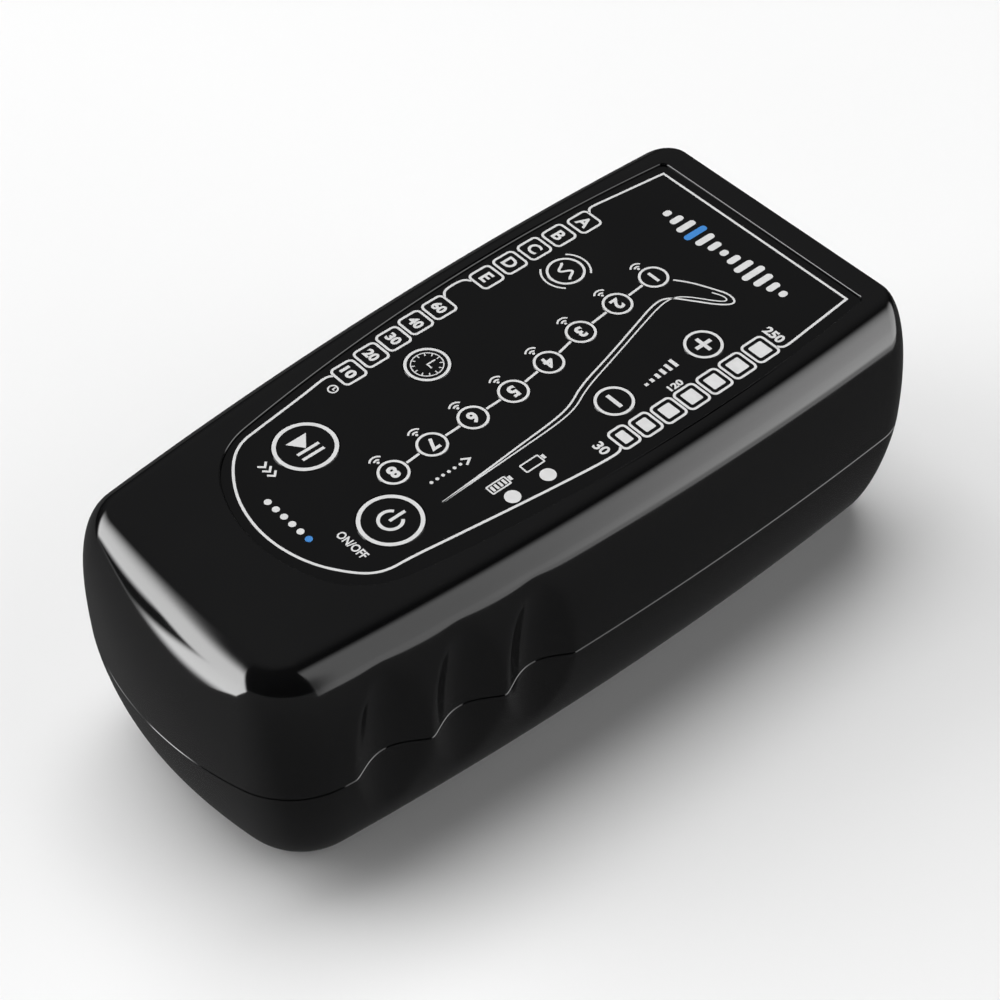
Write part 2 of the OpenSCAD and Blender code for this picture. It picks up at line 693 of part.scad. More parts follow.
// ---- manifold, valves and hose socket ----
function manifold_top() = socket_z + socket_h / 2 - socket_wall;
module valve_manifold() {
    h = socket_h - 2 * socket_wall;
    color([0.85, 0.85, 0.8])
    difference() {
        union() {
            box_at([socket_x - socket_w / 2, manifold_y, socket_z - h / 2], [socket_w, manifold_d, h]);
            box_at([-5, manifold_y, manifold_top() - 1], [10, manifold_d, tube_z + 4 - manifold_top()]);
            at_y(0, manifold_y - 8, tube_z) cylinder(r = spigot_r, h = 8.5);
        }
        for (p = nozzle_xz) at_y(p.x, manifold_y - 1, p.y) cylinder(r = nozzle_bore_r, h = manifold_d + 2);
        at_y(0, manifold_y - 9, tube_z) cylinder(r = spigot_bore_r, h = 9 + manifold_d / 2);
        translate([0, inlet_y, socket_z]) cylinder(r = spigot_bore_r, h = tube_z - socket_z);
    }
}
module solenoid_valves() {
    color([0.15, 0.15, 0.16])
    for (p = nozzle_xz) difference() {
        box_at([p.x - valve_w / 2, valve_y, p.y - valve_w / 2], [valve_w, valve_l, valve_w]);
        at_y(p.x, valve_y + valve_l - valve_bore_l, p.y)
            cylinder(r = plunger_r + 0.08, h = valve_bore_l + 1);
    }
}
module valve_plunger(i) {
    p = nozzle_xz[i];
    color("silver")
    at_y(p.x, valve_y + valve_l - valve_bore_l + plunger_travel + 0.1, p.y)
        cylinder(r = plunger_r, h = valve_bore_l - plunger_travel - 0.2);
}
module pressure_sensor() {
    color([0.2, 0.2, 0.22])
    box_at([socket_x - 26, manifold_y + 2, manifold_top()], [8, 8, 6]);
}
module socket_block(grow, y, l) {
    box_at([socket_x - socket_w / 2 - grow, y, socket_z - socket_h / 2 - grow],
           [socket_w + 2 * grow, l, socket_h + 2 * grow]);
}
module hose_socket() {
    color([0.04, 0.04, 0.045])
    difference() {
        union() {
            socket_block(0, socket_y - socket_d - socket_back, socket_d + socket_back);
            socket_block(flange, rear_y - wall - 1.5 - flange_t, flange_t);
        }
        socket_block(-socket_wall, socket_y - socket_d, socket_d + 1);
        for (p = nozzle_xz) at_y(p.x, socket_y - socket_d - socket_back - 1, p.y)
            cylinder(r = shank_r, h = socket_back + 2);
    }
}
module hose_nozzles() {
    color([0.75, 0.75, 0.77])
    for (p = nozzle_xz) at_y(p.x, socket_y - socket_d - socket_back, p.y) difference() {
        union() {
            cylinder(r = shank_r, h = socket_back);
            cylinder(r = nozzle_r, h = socket_back + nozzle_l);
        }
        translate([0, 0, -1]) cylinder(r = nozzle_bore_r, h = socket_back + nozzle_l + 2);
    }
}

// ---- charging ----
module charge_jack() {
    color([0.06, 0.06, 0.06])
    difference() {
        box_at([jack_x - jack_w / 2, jack_y - jack_l, jack_z - jack_w / 2], [jack_w, jack_l, jack_w]);
        at_y(jack_x, jack_y - jack_depth, jack_z) cylinder(r = jack_r, h = jack_depth + 1);
        at_y(jack_x, jack_y - jack_l - 1, jack_z) cylinder(r = jack_pin_r - 0.2, h = 10);
    }
}
module charge_pin() {
    color("silver") {
        at_y(jack_x, jack_y - jack_depth, jack_z) cylinder(r = jack_pin_r, h = jack_depth - 1);
        at_y(jack_x, jack_y - jack_l, jack_z)
            cylinder(r = jack_pin_r - 0.2, h = jack_l - jack_depth + 0.01);
    }
}
module power_board() {
    color([0.05, 0.3, 0.15])
    box_at([jack_x - power_board_w / 2, rear_y - power_board_in - power_board_l,
            jack_z - jack_w / 2 - board_t], [power_board_w, power_board_l, board_t]);
}
module intake_filter() {
    color([0.4, 0.4, 0.42])
    box_at([-4 * slot_pitch - filter_margin, slot_y - filter_margin, low_z + floor_t],
           [8 * slot_pitch + 2 * filter_margin, slot_l + 2 * filter_margin, filter_t]);
}

// ---- fasteners and feet ----
module casing_screws() {
    color("silver")
    for (p = posts) at_xy(p, seat_z - 2) screw(screw_r - 0.22, head_r, seam_z - seat_z + bite, 2);
}
module rubber_feet() {
    color([0.12, 0.12, 0.12])
    for (p = feet) at_xy(p, 0) cylinder(r = foot_r, h = foot_h + foot_seat);
}

upper_casing();
lower_casing();
key_panel();
key(keys[0]);  // power_key
key(keys[1]);  // start_key
key(keys[2]);  // time_key
key(keys[3]);  // mode_key
key(keys[4]);  // pressure_up_key
key(keys[5]);  // pressure_down_key
for (i = [1:8]) key(keys[5 + i]);
control_board();
key_switches();
indicator_leds();
mode_light_guides();
time_light_guides();
pressure_light_guides();
battery_light_guides();
board_screws();
battery_cells();
battery_holder();
pump_motor();
motor_end_cap();
motor_magnets();
motor_rotor();
motor_shaft();
drive_eccentric();
pump_crankcase();
wobble_plate();
pump_diaphragms();
pump_valve_plate();
pump_head();
pump_screws();
pump_cradle();
pump_tube();
valve_manifold();
solenoid_valves();
for (i = [1:8]) valve_plunger(i - 1);
pressure_sensor();
hose_socket();
hose_nozzles();
charge_jack();
charge_pin();
power_board();
intake_filter();
casing_screws();
rubber_feet();
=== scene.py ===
"""Looks of the compression therapy pump: glossy casings, printed key panel, keys and materials.

Lengths in this script are millimetres in the part's own frame, turned into metres when a mesh is
made. Places on the panel are measured from the printed line across its square end.
"""
import json
import math

import bmesh
import bpy
import numpy as np
from mathutils import Matrix, Vector


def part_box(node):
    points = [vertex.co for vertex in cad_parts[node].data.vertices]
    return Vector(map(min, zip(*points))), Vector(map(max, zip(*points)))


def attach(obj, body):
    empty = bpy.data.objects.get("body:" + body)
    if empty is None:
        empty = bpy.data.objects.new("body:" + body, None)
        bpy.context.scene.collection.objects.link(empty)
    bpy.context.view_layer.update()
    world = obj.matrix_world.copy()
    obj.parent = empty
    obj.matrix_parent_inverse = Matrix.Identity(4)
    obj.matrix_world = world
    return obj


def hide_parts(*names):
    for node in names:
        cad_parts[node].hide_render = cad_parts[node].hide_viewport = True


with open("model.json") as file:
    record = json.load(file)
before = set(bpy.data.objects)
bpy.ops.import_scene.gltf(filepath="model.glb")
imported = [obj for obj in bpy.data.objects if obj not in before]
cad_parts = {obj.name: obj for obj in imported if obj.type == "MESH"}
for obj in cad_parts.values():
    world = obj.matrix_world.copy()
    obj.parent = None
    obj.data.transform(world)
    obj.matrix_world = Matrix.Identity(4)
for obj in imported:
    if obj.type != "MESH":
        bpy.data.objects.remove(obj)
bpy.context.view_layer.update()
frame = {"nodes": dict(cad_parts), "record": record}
MM = 0.001
SLOTS = {s["node"]: s["material_slot"] for s in frame["record"]["subparts"]}

# ---------------------------------------------------------------- sizes
BODY_L, BODY_W, BODY_H = 249.0, 121.6, 90.0
SEAM_Z, GIRTH_Z, LOW_Z = 45.0, 47.0, 2.0  # parting line, widest level and underside
FRONT_Y, REAR_Y = -BODY_L / 2, BODY_L / 2  # the user's end and the square end
BROAD_Y = 53.0  # where the casing is broadest
SIDE_R, FRONT_R = 1240.0, 106.0  # bow of the sides and of the user's end
FLAT_R = 20000.0  # radius of an end that is nearly straight
WALL, DECK_T, FLOOR_T = 2.5, 3.6, 3.0
REVEAL = 0.35  # bevel on both casings along the parting line
LIP_H, LIP_GAP, LIP_FIT = 1.6, 0.2, 0.15  # the lower casing's lip and its room in the upper one

# How far the casing draws in at its (top, underside)
SIDE_DROP, FRONT_DROP, REAR_DROP = (14.3, 13.8), (19.4, 16.0), (6.2, 8.0)
# Roundness of that: 2 is an ellipse, more is squarer
SIDE_N, FRONT_N, REAR_N, LOW_N = 2.39, 2.46, 1.6, 1.67
# Corner radii, and curvature of the user's end in 1/m, at the (widest level, top, underside)
FRONT_CORNER, REAR_CORNER = (26.2, 5.2, 16.0), (17.0, 4.2, 8.0)
FRONT_BOW = (1000 / FRONT_R, 1000 / FLAT_R, 4.0)

SCALLOPS, SCALLOP_PITCH, SCALLOP_D = 3, 24.8, 5.0
SCALLOP_Y = FRONT_Y + 30.5
SCALLOP_N = 1.1  # sharpness of the ridges between scallops: 1 is sharp, 2 is a wave
SCALLOP_SOFT = 0.8  # softness of the edge where a scallop runs out
SCALLOP_FADE = 1.5  # how fast a scallop runs out: 1 would be a straight upright cut
SCALLOPED = 0.42  # share of the side that has the scallops, and closer steps

DECK_LOW = BODY_H - DECK_T
PANEL_TOP, PANEL_T, PANEL_GAP = 89.2, 0.5, 0.1
PANEL_LOW = PANEL_TOP - PANEL_T
PANEL = dict(hw=45.6, yf=FRONT_Y + 41, yr=REAR_Y - 14.6, y0=46.5, rs=600, rf=51, cf=26, cr=2)
PRINT_Y = REAR_Y - 17.9
KEYS = ["power_key", "start_key", "time_key", "mode_key", "pressure_up_key", "pressure_down_key"]
CHANNELS = [f"channel_{i}_key" for i in range(1, 9)]
KEY_T, KEY_GAP, KEY_TRAVEL, KEY_BEVEL = 1.0, 0.12, 0.4, 0.06
STEM_R = 2.0

# Steps along the pieces of half an outline, from the user's end to the square end
STEPS = dict(front=16, front_corner=26, scalloped=130, side=36, rear_corner=22, rear=8)
TOP_STEPS, LOW_STEPS, INNER_STEPS = 44, 40, 7  # rings over the rounding outside and up the inside
KEY_SIDES, HOLE_SIDES, STEM_SIDES, SCREW_SIDES = 96, 48, 32, 24


# ---------------------------------------------------------------- outlines
def cross_pt(c1, r1, c2, r2, near):
    """Where two circles cross, the point nearest to a wanted one."""
    c1, c2, near = (np.array(p, float) for p in (c1, c2, near))
    d = np.linalg.norm(c2 - c1)
    a = (r1 * r1 - r2 * r2 + d * d) / (2 * d)
    h = math.sqrt(max(0, r1 * r1 - a * a))
    m = c1 + (c2 - c1) * a / d
    n = np.array([-(c2 - c1)[1], (c2 - c1)[0]]) / d
    return min((m + h * n, m - h * n), key=lambda p: np.linalg.norm(p - near))


def arc(c, r, start, end, steps, first=True, last=True):
    """Points on an arc, angles in radians, with or without its first and last point."""
    i = np.arange(0 if first else 1, steps + (1 if last else 0))
    a = start + (end - start) * i / steps
    return np.stack([c[0] + r * np.cos(a), c[1] + r * np.sin(a)], 1)


def angle_of(v):
    return math.atan2(v[1], v[0])


def side_steps():
    """Shares of the way along a side, closer together where the scallops are."""
    close, wide = STEPS["scalloped"], STEPS["side"]
    return np.concatenate([SCALLOPED * np.arange(close) / close,
                           SCALLOPED + (1 - SCALLOPED) * np.arange(wide + 1) / wide])


def outline(hw, yf, yr, y0, rs, rf, cf, cr):
    """A closed outline: bowed front, front corners, bowed sides, rear corners and rear end.

    hw is half its width at y0, and yf and yr are its ends. The radii are those of the sides (rs),
    the front (rf), the front corners (cf) and the rear corners (cr).
    """
    cs, front, rear = (hw - rs, y0), (0, yf + rf), (0, yr - FLAT_R)
    a = cross_pt(cs, rs - cf, front, rf - cf, (hw - cf, yf + cf))
    b = cross_pt(cs, rs - cr, rear, FLAT_R - cr, (hw - cr, yr - cr))
    a0, a1 = angle_of(a - front), angle_of(a - cs)
    b0, b1 = angle_of(b - cs), angle_of(b - rear)
    ya, yb = a[1] + cf * math.sin(a1), b[1] + cr * math.sin(b0)
    y = ya + (yb - ya) * side_steps()
    side = np.stack([cs[0] + np.sqrt(rs * rs - (y - y0) ** 2), y], 1)
    half = np.vstack([arc(front, rf, -math.pi / 2, a0, STEPS["front"], last=False),
                      arc(a, cf, a0, a1, STEPS["front_corner"], last=False),
                      side,
                      arc(b, cr, b0, b1, STEPS["rear_corner"], first=False),
                      arc(rear, FLAT_R, b1, math.pi / 2, STEPS["rear"], first=False)])
    half[0, 0] = half[-1, 0] = 0
    return np.vstack([half, half[-2:0:-1] * (-1, 1)])


def drop(q, n):
    """The share of a drop that is reached at q, from 0 at the widest level to 1 at the end."""
    return 1 - max(0, 1 - q ** n) ** (1 / n)


def scallop_in(y, drawn):
    """How far the finger scallops cut in, where the side has drawn in by drawn already."""
    t = (y - SCALLOP_Y) / SCALLOP_PITCH
    gone = SCALLOP_FADE * drawn
    d = SCALLOP_D * np.abs(np.sin(math.pi * t)) ** SCALLOP_N - gone
    depth = (d + np.hypot(d, SCALLOP_SOFT) + gone - math.hypot(gone, SCALLOP_SOFT)) / 2
    return np.where((t <= 0) | (t >= SCALLOPS), 0, depth)


def ring3(points, z):
    return np.column_stack([points, np.full(len(points), float(z))])


def casing_ring(z, inset=0.0):
    """The casing's outline at height z, moved inwards by inset."""
    up = z >= GIRTH_Z
    q = min(1, (z - GIRTH_Z) / (BODY_H - GIRTH_Z) if up else (GIRTH_Z - z) / (GIRTH_Z - LOW_Z))
    s = SIDE_DROP[0] * drop(q, SIDE_N) if up else SIDE_DROP[1] * drop(q, LOW_N)
    f = FRONT_DROP[0] * drop(q, FRONT_N) if up else FRONT_DROP[1] * drop(q, LOW_N)
    r = REAR_DROP[0] * drop(q, REAR_N) if up else REAR_DROP[1] * drop(q, LOW_N)
    k, e = drop(q, 2), 1 if up else 2
    bow, cf, cr = (v[0] + (v[e] - v[0]) * k for v in (FRONT_BOW, FRONT_CORNER, REAR_CORNER))
    p = outline(BODY_W / 2 - s - inset, FRONT_Y + f + inset, REAR_Y - r - inset, BROAD_Y,
                SIDE_R - inset, 1000 / bow - inset, cf - inset, cr - inset)
    p[:, 0] -= np.sign(p[:, 0]) * scallop_in(p[:, 1], s)
    return ring3(p, z)


def casing_rings(levels):
    """Casing rings at (height, inset) pairs."""
    return [casing_ring(z, inset) for z, inset in levels]


def panel_ring(z, grow):
    """The panel's outline at height z, moved outwards by grow."""
    p = PANEL
    return ring3(outline(p["hw"] + grow, p["yf"] - grow, p["yr"] + grow, p["y0"], p["rs"] + grow,
                         p["rf"] + grow, p["cf"] + grow, p["cr"] + grow), z)


def rounded(n, steps):
    """Heights that follow a rounding closely, from just past the widest level to 1."""
    return [math.sin(math.pi / 2 * i / steps) ** (2 / n) for i in range(1, steps + 1)]


# ---------------------------------------------------------------- meshes
def new_object(name, data):
    obj = bpy.data.objects.new(name, data)
    bpy.context.scene.collection.objects.link(obj)
    return obj


def loft(name, rings):
    """A closed mesh through rings of equally many points, with flat ends."""
    n = len(rings[0])
    faces = [(i * n + j, (i + 1) * n + j, (i + 1) * n + (j + 1) % n, i * n + (j + 1) % n)
             for i in range(len(rings) - 1) for j in range(n)]
    faces += [tuple(range(n)), tuple(range(len(rings) * n - 1, (len(rings) - 1) * n - 1, -1))]
    mesh = bpy.data.meshes.new(name)
    mesh.from_pydata((np.vstack(rings) * MM).tolist(), [], faces)
    obj = new_object(name, mesh)
    face_outwards(obj)
    return obj


def face_outwards(obj):
    bm = bmesh.new()
    bm.from_mesh(obj.data)
    bmesh.ops.recalc_face_normals(bm, faces=bm.faces)
    bm.to_mesh(obj.data)
    bm.free()


def circle_ring(x, y, r, z, n):
    a = np.arange(n) * 2 * math.pi / n
    return ring3(np.column_stack([x + r * np.cos(a), y + r * np.sin(a)]), z)


def turned(name, x, y, profile, n=HOLE_SIDES):
    """A closed turned mesh on an upright axis: profile has a (radius, height) for each ring."""
    return loft(name, [circle_ring(x, y, r, z, n) for r, z in profile])


def drilled(name, x, y, r, low, high, n=HOLE_SIDES):
    """An upright cylinder of n sides from one height to another."""
    return turned(name, x, y, [(r, low), (r, high)], n)


def lay_along_y(obj, x, y, z):
    """Turns an upright mesh made at the origin so that its height runs to the rear."""
    for v in obj.data.vertices:
        v.co = Vector((v.co.x + x * MM, v.co.z + y * MM, z * MM - v.co.y))
    return obj


def box_mesh(name, low, high):
    corners = np.array([(low[0], low[1]), (high[0], low[1]), (high[0], high[1]), (low[0], high[1])])
    return loft(name, [ring3(corners, low[2]), ring3(corners, high[2])])


def cut(obj, cutters, operation="DIFFERENCE"):
    """Cuts away (or adds) closed meshes and removes them."""
    holder = bpy.data.collections.new("cutters")
    for c in cutters:
        holder.objects.link(c)
    mod = obj.modifiers.new("cut", "BOOLEAN")
    mod.operation, mod.solver = operation, "MANIFOLD"
    mod.operand_type, mod.collection = "COLLECTION", holder
    bake_modifiers(obj)
    for c in cutters:
        bpy.data.objects.remove(c)
    bpy.data.collections.remove(holder)
    return obj


def evaluated_mesh(obj):
    """A new mesh with the object's modifiers, or a text's glyphs, worked out."""
    bpy.context.view_layer.update()
    evaluated = obj.evaluated_get(bpy.context.evaluated_depsgraph_get())
    return bpy.data.meshes.new_from_object(evaluated)


def bake_modifiers(obj):
    done, old = evaluated_mesh(obj), obj.data
    obj.modifiers.clear()
    obj.data = done
    bpy.data.meshes.remove(old)


def smooth(obj, angle=35):
    """Smooth shading that keeps edges over angle crisp, with the large flat faces truly flat."""
    obj.data.polygons.foreach_set("use_smooth", [True] * len(obj.data.polygons))
    obj.data.set_sharp_from_angle(angle=math.radians(angle))
    mod = obj.modifiers.new("normals", "WEIGHTED_NORMAL")
    mod.keep_sharp, mod.weight = True, 100
    bake_modifiers(obj)
    return obj


def dress(obj, slot, body, replaces=(), material=None):
    """Gives a piece the material of its slot, puts it on its body, and hides the CAD nodes that it takes
    the place of.
    """
    obj.data.materials.clear()
    obj.data.materials.append(material or FINISH[slot])
    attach(obj, body)
    if replaces:
        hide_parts(*replaces)
    return obj


# ---------------------------------------------------------------- materials
def material(name, base, rough, **sockets):
    """A principled material; returns it with its node tree and shader."""
    made = bpy.data.materials.new(name)
    made.use_nodes = True
    shader = made.node_tree.nodes["Principled BSDF"]
    shader.inputs["Base Color"].default_value = (*base, 1)
    shader.inputs["Roughness"].default_value = rough
    for k, v in sockets.items():
        shader.inputs[k.replace("_", " ")].default_value = v
    return made, made.node_tree, shader


def add(tree, kind, links=(), **settings):
    """A node with its settings; links are (its input, another node's output)."""
    node = tree.nodes.new(kind)
    for k, v in settings.items():
        if k in node.inputs:
            node.inputs[k].default_value = v
        else:
            setattr(node, k, v)
    for socket, output in links:
        tree.links.new(output, node.inputs[socket])
    return node


def here(tree):
    """Places in the object's own coordinates, in metres."""
    return add(tree, "ShaderNodeTexCoord").outputs["Object"]


def spots(tree, scale, detail=3.0, stretch=None):
    """Noise over the object's own coordinates, scale per metre."""
    place = here(tree)
    if stretch:
        place = add(tree, "ShaderNodeMapping", [("Vector", place)], Scale=stretch).outputs[0]
    noise = add(tree, "ShaderNodeTexNoise", [("Vector", place)], Scale=scale, Detail=detail)
    return noise.outputs["Fac"]


def spread(tree, value, low, high, start=0.35, end=0.65, way="LINEAR"):
    """Goes from low to high while value goes from start to end."""
    return add(tree, "ShaderNodeMapRange", [("Value", value)], interpolation_type=way, **{
        "From Min": start, "From Max": end, "To Min": low, "To Max": high}).outputs["Result"]


def colour(tree, shader, value, dark, light, start=0.35, end=0.65):
    """Base colour that goes from dark to light while value goes from start to end."""
    ramp = add(tree, "ShaderNodeValToRGB", [("Fac", value)])
    for stop, place, tone in zip(ramp.color_ramp.elements, (start, end), (dark, light)):
        stop.position, stop.color = place, (*tone, 1)
    tree.links.new(ramp.outputs["Color"], shader.inputs["Base Color"])


def roughen(tree, shader, value, low, high):
    tree.links.new(spread(tree, value, low, high), shader.inputs["Roughness"])


def bump(tree, shader, height, strength, distance):
    node = add(tree, "ShaderNodeBump", [("Height", height)], Strength=strength, Distance=distance)
    tree.links.new(node.outputs["Normal"], shader.inputs["Normal"])


def gloss(name, dark, light, rough, peel):
    """Glossy moulded plastic: slight tone changes, a breath of haze and a faint orange peel."""
    made, tree, shader = material(name, dark, rough[0], Specular_IOR_Level=1.0)
    colour(tree, shader, spots(tree, 22, 4), dark, light)
    roughen(tree, shader, spots(tree, 60, 5), *rough)
    bump(tree, shader, spots(tree, 700, 2), peel, 0.00002)
    return made


def moulded(name, dark, light, rough, grain, scale=1800):
    """Satin moulded plastic or rubber with a fine spark-eroded grain."""
    made, tree, shader = material(name, dark, rough[0])
    colour(tree, shader, spots(tree, 90, 5), dark, light)
    roughen(tree, shader, spots(tree, 300, 4), *rough)
    bump(tree, shader, spots(tree, scale, 3), grain, 0.00005)
    return made


def metal(name, dark, light, rough, stretch):
    """Turned or drawn metal, brushed along one direction."""
    made, tree, shader = material(name, light, rough[0], Metallic=1.0)
    lines = spots(tree, 900, 4, stretch=stretch)
    colour(tree, shader, lines, dark, light)
    roughen(tree, shader, lines, *rough)
    bump(tree, shader, lines, 0.15, 0.00003)
    return made


def board(name):
    """Solder mask over copper tracks."""
    mask = (0.02, 0.13, 0.05)
    made, tree, shader = material(name, mask, 0.35, Coat_Weight=0.4, Coat_Roughness=0.15)
    tracks = add(tree, "ShaderNodeTexBrick", [("Vector", here(tree))], Scale=90, **{
        "Mortar Size": 0.03, "Color1": (*mask, 1), "Color2": (0.024, 0.15, 0.06, 1),
        "Mortar": (0.05, 0.24, 0.1, 1)})
    tree.links.new(tracks.outputs["Color"], shader.inputs["Base Color"])
    bump(tree, shader, tracks.outputs["Fac"], 0.4, 0.00004)
    return made


def winding(name):
    """Enamelled copper wire, wound side by side."""
    made, tree, shader = material(name, (0.6, 0.25, 0.09), 0.28, Metallic=1.0)
    wires = add(tree, "ShaderNodeTexWave", [("Vector", here(tree))], Scale=600, Distortion=0.6,
                bands_direction="X").outputs["Fac"]
    colour(tree, shader, wires, (0.35, 0.12, 0.04), (0.75, 0.34, 0.13), 0.1, 0.9)
    bump(tree, shader, wires, 0.5, 0.0001)
    return made


def wrap(name):
    """Shrink wrap over a cell: a clear coat on blue, slightly wrinkled round the cell."""
    made, tree, shader = material(name, (0.03, 0.09, 0.3), 0.25, Coat_Weight=0.6, Coat_Roughness=0.1)
    colour(tree, shader, spots(tree, 70, 5), (0.025, 0.075, 0.26), (0.045, 0.12, 0.36))
    bump(tree, shader, spots(tree, 160, 3, stretch=(0.15, 1, 1)), 0.3, 0.0001)
    return made


def foam(name):
    """Open cell foam."""
    made, tree, shader = material(name, (0.1, 0.1, 0.11), 0.95)
    cells = add(tree, "ShaderNodeTexVoronoi", [("Vector", here(tree))], Scale=1100)
    colour(tree, shader, cells.outputs["Distance"], (0.02, 0.02, 0.02), (0.16, 0.16, 0.17), 0.05, 0.5)
    bump(tree, shader, cells.outputs["Distance"], 1.0, 0.0004)
    return made


def ink(name, base):
    """Screen-printed ink: a touch uneven, satin."""
    made, tree, shader = material(name, base, 0.4)
    colour(tree, shader, spots(tree, 400, 4), tuple(0.93 * c for c in base), base)
    roughen(tree, shader, spots(tree, 900, 3), 0.35, 0.5)
    bump(tree, shader, spots(tree, 2500, 2), 0.1, 0.00001)
    return made


FINISH = {
    "casing": gloss("casing", (0.0034, 0.0034, 0.0036), (0.0042, 0.0042, 0.0044),
                    (0.06, 0.09), 0.03),
    "panel": gloss("panel", (0.0016, 0.0016, 0.0018), (0.0022, 0.0022, 0.0024),
                   (0.05, 0.08), 0.02),
    "circuit_board": board("circuit_board"),
    "black_plastic": moulded("black_plastic", (0.012, 0.012, 0.013), (0.02, 0.02, 0.021),
                             (0.35, 0.5), 0.25),
    "light_guide": moulded("light_guide", (0.7, 0.71, 0.73), (0.82, 0.83, 0.85), (0.3, 0.45), 0.1),
    "steel": metal("steel", (0.38, 0.38, 0.39), (0.62, 0.62, 0.64), (0.22, 0.38), (1, 0.08, 1)),
    "battery_cell": wrap("battery_cell"),
    "magnet": metal("magnet", (0.08, 0.08, 0.085), (0.14, 0.14, 0.15), (0.4, 0.6), (1, 1, 1)),
    "copper": winding("copper"),
    "pale_plastic": moulded("pale_plastic", (0.62, 0.61, 0.58), (0.7, 0.69, 0.66),
                            (0.35, 0.5), 0.2),
    "rubber": moulded("rubber", (0.014, 0.014, 0.014), (0.024, 0.024, 0.024),
                      (0.6, 0.8), 0.5, 1200),
    "silicone": moulded("silicone", (0.5, 0.52, 0.5), (0.6, 0.62, 0.6), (0.25, 0.4), 0.1),
    "foam": foam("foam"),
}
INK = ink("print", (0.62, 0.62, 0.62))
BLUE_INK = ink("print_blue", (0.045, 0.21, 0.54))


def dress_solids():
    """Each CAD solid gets the material of its slot."""
    for node, slot in SLOTS.items():
        mesh = frame["nodes"][node].data
        mesh.materials.clear()
        mesh.materials.append(FINISH[slot])


# ---------------------------------------------------------------- casings
def box_of(node):
    low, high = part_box(node)
    return np.array(low) / MM, np.array(high) / MM


def centre_of(node):
    low, high = box_of(node)
    return (low + high) / 2


def key_circle(key):
    """A key's centre and radius."""
    low, high = box_of(key)
    return (low[0] + high[0]) / 2, (low[1] + high[1]) / 2, (high[0] - low[0]) / 2


POSTS = [(-26, -98), (26, -98), (-40, PRINT_Y - 83.1), (40, PRINT_Y - 103.6),
         (-41, REAR_Y - 38.5), (41, REAR_Y - 38.5)]
POST_R, BOSS_R = 4.0, 5.2  # a post in the upper casing stands on a boss in the lower one
SCREW_HOLE_R, SCREW_HOLE_H, SHANK_HOLE_R = 1.3, 13.0, 1.7
WELL_R, WELL_MOUTH_R, WELL_CHAMFER = 3.2, 3.8, 0.6
WELL_TOP = SEAM_Z - 9.0
STANDOFFS = [(x, PRINT_Y + y) for x, y in ((-22, -30.6), (22, -30.6), (-30.5, -93.6), (29, -96.6),
                                           (-36, -151.6), (34, -151.6))]
STANDOFF_R, PILOT_R, PILOT_H = 3.0, 1.1, 5.0
BOARD_Z = DECK_LOW - 8.4
FEET = [(x, y) for x in (-29, 29) for y in (FRONT_Y + 40.5, REAR_Y - 24.5)]
FOOT_SEAT_R, FOOT_SEAT = 6.6, 0.8
POCKET_GAP, POCKET_LOW = KEY_GAP + 0.2, PANEL_TOP - KEY_T - KEY_TRAVEL - 0.2
STEM_HOLE_R = STEM_R + 0.3
GRILLE_SLOTS, GRILLE_PITCH, GRILLE_W, FILTER_MARGIN = 8, 4.5, 2.0, 3.0
JACK_HOLE_R, JACK_HOLE_IN, JACK_HOLE_OUT = 3.8, 14.0, 6.0
FLANGE, FLANGE_FIT = 2.0, 0.15
NOTCH_IN, NOTCH_OUT = WALL + 6.0, 8.0
ROOT = 0.5  # how far a post or boss starts inside the wall that carries it
OVER = 1.0  # how far a cutter reaches past the face that it cuts
FLAT_INSET = 0.4  # from the rounding's end to the flat top or underside
EDGE_HOLD = 0.25  # a ring this close to the parting line's bevel keeps the shading beside it even
FILLET, FILLET_STEPS, FILLET_HOLD = 0.5, 5, 0.3  # rounding round the panel's recess


def socket_notch():
    """The opening in the rear wall that the hose socket stands in, covered by its flange."""
    low, high = box_of("hose_socket")
    shrink = FLANGE - FLANGE_FIT
    return box_mesh("notch", (low[0] + shrink, REAR_Y - NOTCH_IN, low[2] + shrink),
                    (high[0] - shrink, REAR_Y + NOTCH_OUT, high[2] - shrink))


def recess_rings():
    """From the deck over the small rounding down to the panel's seat."""
    rings = [panel_ring(BODY_H, PANEL_GAP + FILLET + FILLET_HOLD)]
    for i in range(FILLET_STEPS + 1):
        a = math.pi / 2 * i / FILLET_STEPS
        rings.append(panel_ring(BODY_H - FILLET * (1 - math.cos(a)),
                                PANEL_GAP + FILLET * (1 - math.sin(a))))
    return rings + [panel_ring(PANEL_LOW, PANEL_GAP)]


def upper_shell():
    """Up the outside from the lip to the recess; the inside starts under the deck."""
    lip_top = SEAM_Z + LIP_H + LIP_GAP
    inner = [casing_ring(lip_top + (DECK_LOW - lip_top) * math.cos(math.pi / 2 * i / INNER_STEPS), WALL)
             for i in range(INNER_STEPS + 1)]
    groove = WALL / 2 - LIP_FIT / 2
    lip = casing_rings([(lip_top, groove), (SEAM_Z, groove), (SEAM_Z, REVEAL), (SEAM_Z + REVEAL, 0),
                        (SEAM_Z + REVEAL + EDGE_HOLD, 0), (GIRTH_Z, 0)])
    outer = [casing_ring(GIRTH_Z + q * (BODY_H - GIRTH_Z))
             for q in rounded((SIDE_N + FRONT_N) / 2, TOP_STEPS)]
    rim, recess = casing_ring(BODY_H, FLAT_INSET), recess_rings()
    deck = [rim + (recess[0] - rim) * share for share in (0, 0.33, 0.67)]
    return loft("upper_casing_shell", inner + lip + outer + deck + recess)


